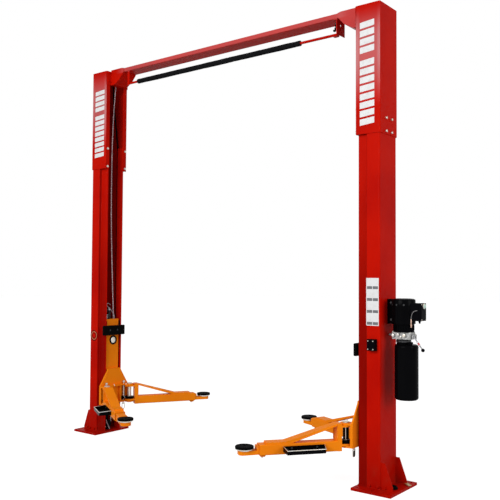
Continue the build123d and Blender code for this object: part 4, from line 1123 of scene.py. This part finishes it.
def box_details():
    """Lid seam, corner screws, push button and cable gland of the control box."""
    lid = bmesh.new()
    box(lid, (1.926, -0.0462, 1.2738), (1.9302, 0.0462, 1.4072), 0.001, 1)
    finished("box_seam", lid, "black_plastic", "frame")
    screws = bmesh.new()
    for y in (-0.037, 0.037):
        for level in (1.284, 1.397):
            round_screw(screws, (BOX_FACE, y, level), RIGHT, 0.004)
    finished("box_screws", screws, "zinc_steel", "frame")
    profile = [(0, 0.0155), (0, 0.0205), (0.004, 0.0205), (0.006, 0.0185), (0.006, 0.0165), (0, 0.0155)]
    lathe_piece("button_collar", profile, (BOX_FACE, 0, BUTTON_LEVEL), RIGHT, 36, "zinc_steel", "frame")
    profile = [(0, 0), (0, 0.0163), (0.01, 0.0163), (0.0122, 0.0145), (0.011, 0.006), (0.0108, 0)]
    place = (BOX_FACE - 0.0005, 0, BUTTON_LEVEL)
    lathe_piece("button_cap", profile, place, RIGHT, 36, "button_green", "frame")
    gland = bmesh.new()
    hexagon(gland, (1.905, 0.02, 1.275), DOWN, 0.018, 0.008)
    profile = [(0, 0), (0, 0.008), (0.01, 0.007), (0.014, 0.005), (0.014, 0)]
    turned(gland, profile, (1.905, 0.02, 1.267), DOWN, 20)
    finished("box_gland", gland, "black_plastic", "frame")


def motor_lead():
    """The short wire from the control box to the motor, and its connector."""
    points = [(1.914, -0.044, 1.352), (1.911, -0.052, 1.352), (1.899, -0.064, 1.348),
              (1.882, -0.062, 1.33), (1.872, -0.052, 1.305), (1.8665, -0.044, 1.286)]
    wire = bmesh.new()
    bent_bar(wire, points, 0.0026)
    finished("motor_wire", wire, "grey_cable", "frame")
    profile = [(0, 0), (0, 0.005), (0.008, 0.005), (0.01, 0.006), (0.024, 0.006), (0.026, 0.0035),
               (0.034, 0.0035), (0.036, 0.0055), (0.052, 0.0055), (0.06, 0.0036), (0.06, 0)]
    lathe_piece("motor_connector", profile, WIRE_PLUG, UP, 24, "copper", "frame")


def manifold_plugs():
    """Hexagon plugs on the ports, flange screws and the relief cap."""
    mesh = bmesh.new()
    for x, level, radius in ((1.725, 1.163, 0.013), (1.765, 1.169, 0.011), (1.787, 1.153, 0.009),
                             (1.815, 1.165, 0.014)):
        face = -0.045 - radius
        hexagon(mesh, (x, face + 0.004, level), FORWARD, radius * 1.75, 0.009)
        stub = [(0, 0), (0, radius * 0.55), (0.004, radius * 0.55), (0.005, radius * 0.35), (0.003, 0)]
        turned(mesh, stub, (x, face - 0.005, level), FORWARD, 20)
    for x in (1.716, 1.85):
        for y in (-0.033, 0.033):
            bolt(mesh, (x, y, 1.187), UP, 0.011, 0.006)
    hexagon(mesh, (1.859, 0.022, 1.165), RIGHT, 0.024, 0.012)
    finished("manifold_plugs", mesh, "zinc_steel", "frame")


def tank_parts():
    """Clamp round the neck, two beads round the tank and its filler cap."""
    neck = bmesh.new()
    turned(neck, ring(1.113, 1.127, 0.0535, 0.0565), MOTOR, steps=64)
    box(neck, (1.782, -0.066, 1.114), (1.792, -0.055, 1.126), 0.001, 1)
    finished("neck_clamp", neck, "dark_steel", "frame")
    beads = bmesh.new()
    for low, half, edge, crown in ((1.07, 0.003, 0.0013, 0.0017), (0.706, 0.002, 0.001, 0.0012)):
        high = low + 2 * half
        bead = [(low, 0), (low + 0.0005, edge), (low + half, crown), (high - 0.0005, edge), (high, 0),
                (low, 0)]
        turned(beads, [(height, TANK_RADIUS + rise) for height, rise in bead], TANK, steps=72)
    finished("tank_beads", beads, "black_paint", "frame")
    profile = [(0, 0), (0, 0.013), (0.012, 0.013), (0.013, 0.017), (0.022, 0.017), (0.025, 0.014), (0.025, 0)]
    lathe_piece("filler_cap", profile, (1.862, -0.04, 1.0935), UP, 28, "black_plastic", "frame")


def lever_parts():
    """Black ball and red grip sleeve on the release lever."""
    radius, steps = 0.0136, 14
    way = (LEVER_END - LEVER_START).normalized()
    arc = [(-radius * cos(pi * step / steps), radius * sin(pi * step / steps)) for step in range(steps + 1)]
    lathe_piece("lever_ball", arc, LEVER_END, way, 32, "black_plastic", "lever", sharp=80)
    profile = [(0, 0.0048), (0, 0.0068), (0.002, 0.0074), (0.016, 0.0074), (0.018, 0.0066), (0.018, 0.0048),
               (0, 0.0048)]
    place = LEVER_START.lerp(LEVER_END, 0.48)
    lathe_piece("lever_sleeve", profile, place, way, 24, "red_plastic", "lever")


def bracket_screws():
    """Bolts through the two cheeks of the power unit's bracket."""
    mesh = bmesh.new()
    for y, out in ((-0.0175, -1), (0.0615, 1)):
        for level in (1.275, 1.405):
            bolt(mesh, (1.69, y, level), (0, out, 0), 0.011, 0.006)
    finished("bracket_screws", mesh, "dark_steel", "frame")


def cover_details(name, side):
    """Screws and a moulded recess on the lock cover."""
    screws = bmesh.new()
    for x in (1.581, 1.623):
        for level in (1.12, 1.058):
            round_screw(screws, (x, -0.182, level), FORWARD, 0.0045)
    finished(name + "_cover_screws", half_turn(screws, side), "zinc_steel", "frame")
    rim = bmesh.new()
    box(rim, (1.584, -0.1828, 1.074), (1.62, -0.1815, 1.104), 0.0006, 1)
    finished(name + "_cover_field", half_turn(rim, side), "black_plastic", "frame")


def cylinder_rings(name, side):
    """Gland nut with its notches, and the clips that hold the oil line."""
    mesh = bmesh.new()
    middle = Vector((1.572, 0, 1.034))
    nut = [(-0.012, 0.031), (-0.012, 0.0345), (0.012, 0.0345), (0.016, 0.032), (0.0165, 0.0235)]
    turned(mesh, nut, middle, steps=48)
    notch = [(0, 0), (0, 0.0022), (0.0012, 0.0018), (0.0012, 0)]
    notches = 12
    for step in range(notches):
        angle = tau * step / notches
        out = Vector((cos(angle), sin(angle), 0))
        turned(mesh, notch, middle + out * 0.0343, out, 8)
    finished(name + "_gland_nut", half_turn(mesh, side), "dark_steel", "frame")
    clips = bmesh.new()
    for z in (0.75, 1.25, 1.75, 2.25, 2.75):
        turned(clips, ring(0, 0.012, 0.0078, 0.0094), (1.563, -0.12, z), steps=20)
        box(clips, (1.557, -0.1315, z + 0.001), (1.569, -0.126, z + 0.011), 0.0006, 1)
    finished(name + "_line_clips", half_turn(clips, side), "black_plastic", "frame")


for name, side in SIDES:
    for make in (column_welds, foot_bolts, sleeve_trim, sleeve_bolts, cable_end, bumper_cover, bumper_screws,
                 carriage_welds, pin_caps, lock_blocks, grease_nipples, cylinder_rings, cover_details):
        make(name, side)
pin_sleeves("right")

ropes = [hanging_rope(name, side) for name, side in SIDES]
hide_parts("rope_tops")
tails = [rope_tail(name, side) for name, side in SIDES]
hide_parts("rope_tails")
chains = [chain for name, side in SIDES for chain in chain_pair(name, side)]
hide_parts("chain_runs")

for name in ARMS:
    for make in (arm_welds, tray_rim, tray_mat, pad_parts, arm_stop):
        make(name)

sleeve_bars("right_sleeve_bars", 1.492, 1.616, 2.759, 3.578)
sleeve_bars("left_sleeve_bars", -1.618, -1.479, 2.812, 3.516)
for make in (blank_panel, ring_mark, plate_litter, foot_highlight_line, post_badge, padding, switch_parts, motor_shell,
             box_details, motor_lead, manifold_plugs, tank_parts, lever_parts, bracket_screws):
    make()


def set_stage():
    """White floor: it takes the object's shadow, and looks white to the camera."""
    mesh = bmesh.new()
    bmesh.ops.create_grid(mesh, x_segments=1, y_segments=1, size=40)
    floor_mesh = bpy.data.meshes.new("floor")
    mesh.to_mesh(floor_mesh)
    mesh.free()
    floor = bpy.data.objects.new("floor", floor_mesh)
    into_scene(floor)
    look = Finish("floor", roughness=0.9)
    look.set("Base Color", look.mix(look.noise(0.7, 2.0), (0.42, 0.42, 0.42), (0.45, 0.45, 0.45)))
    look.set("Emission Color", look.mix(look.seen(), (0, 0, 0), (1, 1, 1)))
    look.set("Emission Strength", FLOOR_LIFT)
    floor.data.materials.append(look.material)


def lamp(name, place, aim, size, power):
    data = bpy.data.lights.new(name, "AREA")
    data.shape = "RECTANGLE"
    data.size, data.size_y = size
    data.energy = power
    light = bpy.data.objects.new(name, data)
    direction = Vector(aim) - Vector(place)
    light.matrix_world = Matrix.Translation(place) @ direction.to_track_quat("-Z", "Y").to_matrix().to_4x4()
    into_scene(light)


def set_light():
    """Even pale room, a large soft lamp ahead and a weaker one from the right."""
    world = bpy.data.worlds.new("world")
    world.use_nodes = True
    bpy.context.scene.world = world
    sky = Nodes(world.node_tree)
    sky.tree.nodes.remove(sky.tree.nodes["Background"])
    room = sky.node("Background", values={"Color": (0.96, 0.97, 1.0, 1), "Strength": ROOM_LEVEL})
    white = sky.node("Background", values={"Color": (1, 1, 1, 1), "Strength": 1.0})
    shown = sky.node("MixShader", values={0: sky.seen(), 1: room, 2: white})
    sky.feed(sky.tree.nodes["World Output"].inputs["Surface"], shown)
    lamp("key", KEY_PLACE, (0.3, 0, 1.6), (4.0, 3.0), KEY_POWER)
    lamp("fill", FILL_PLACE, (1.5, 0, 1.6), (3.0, 3.0), FILL_POWER)


set_camera()
set_stage()
set_light()

bpy.context.scene.view_settings.view_transform = "Standard"
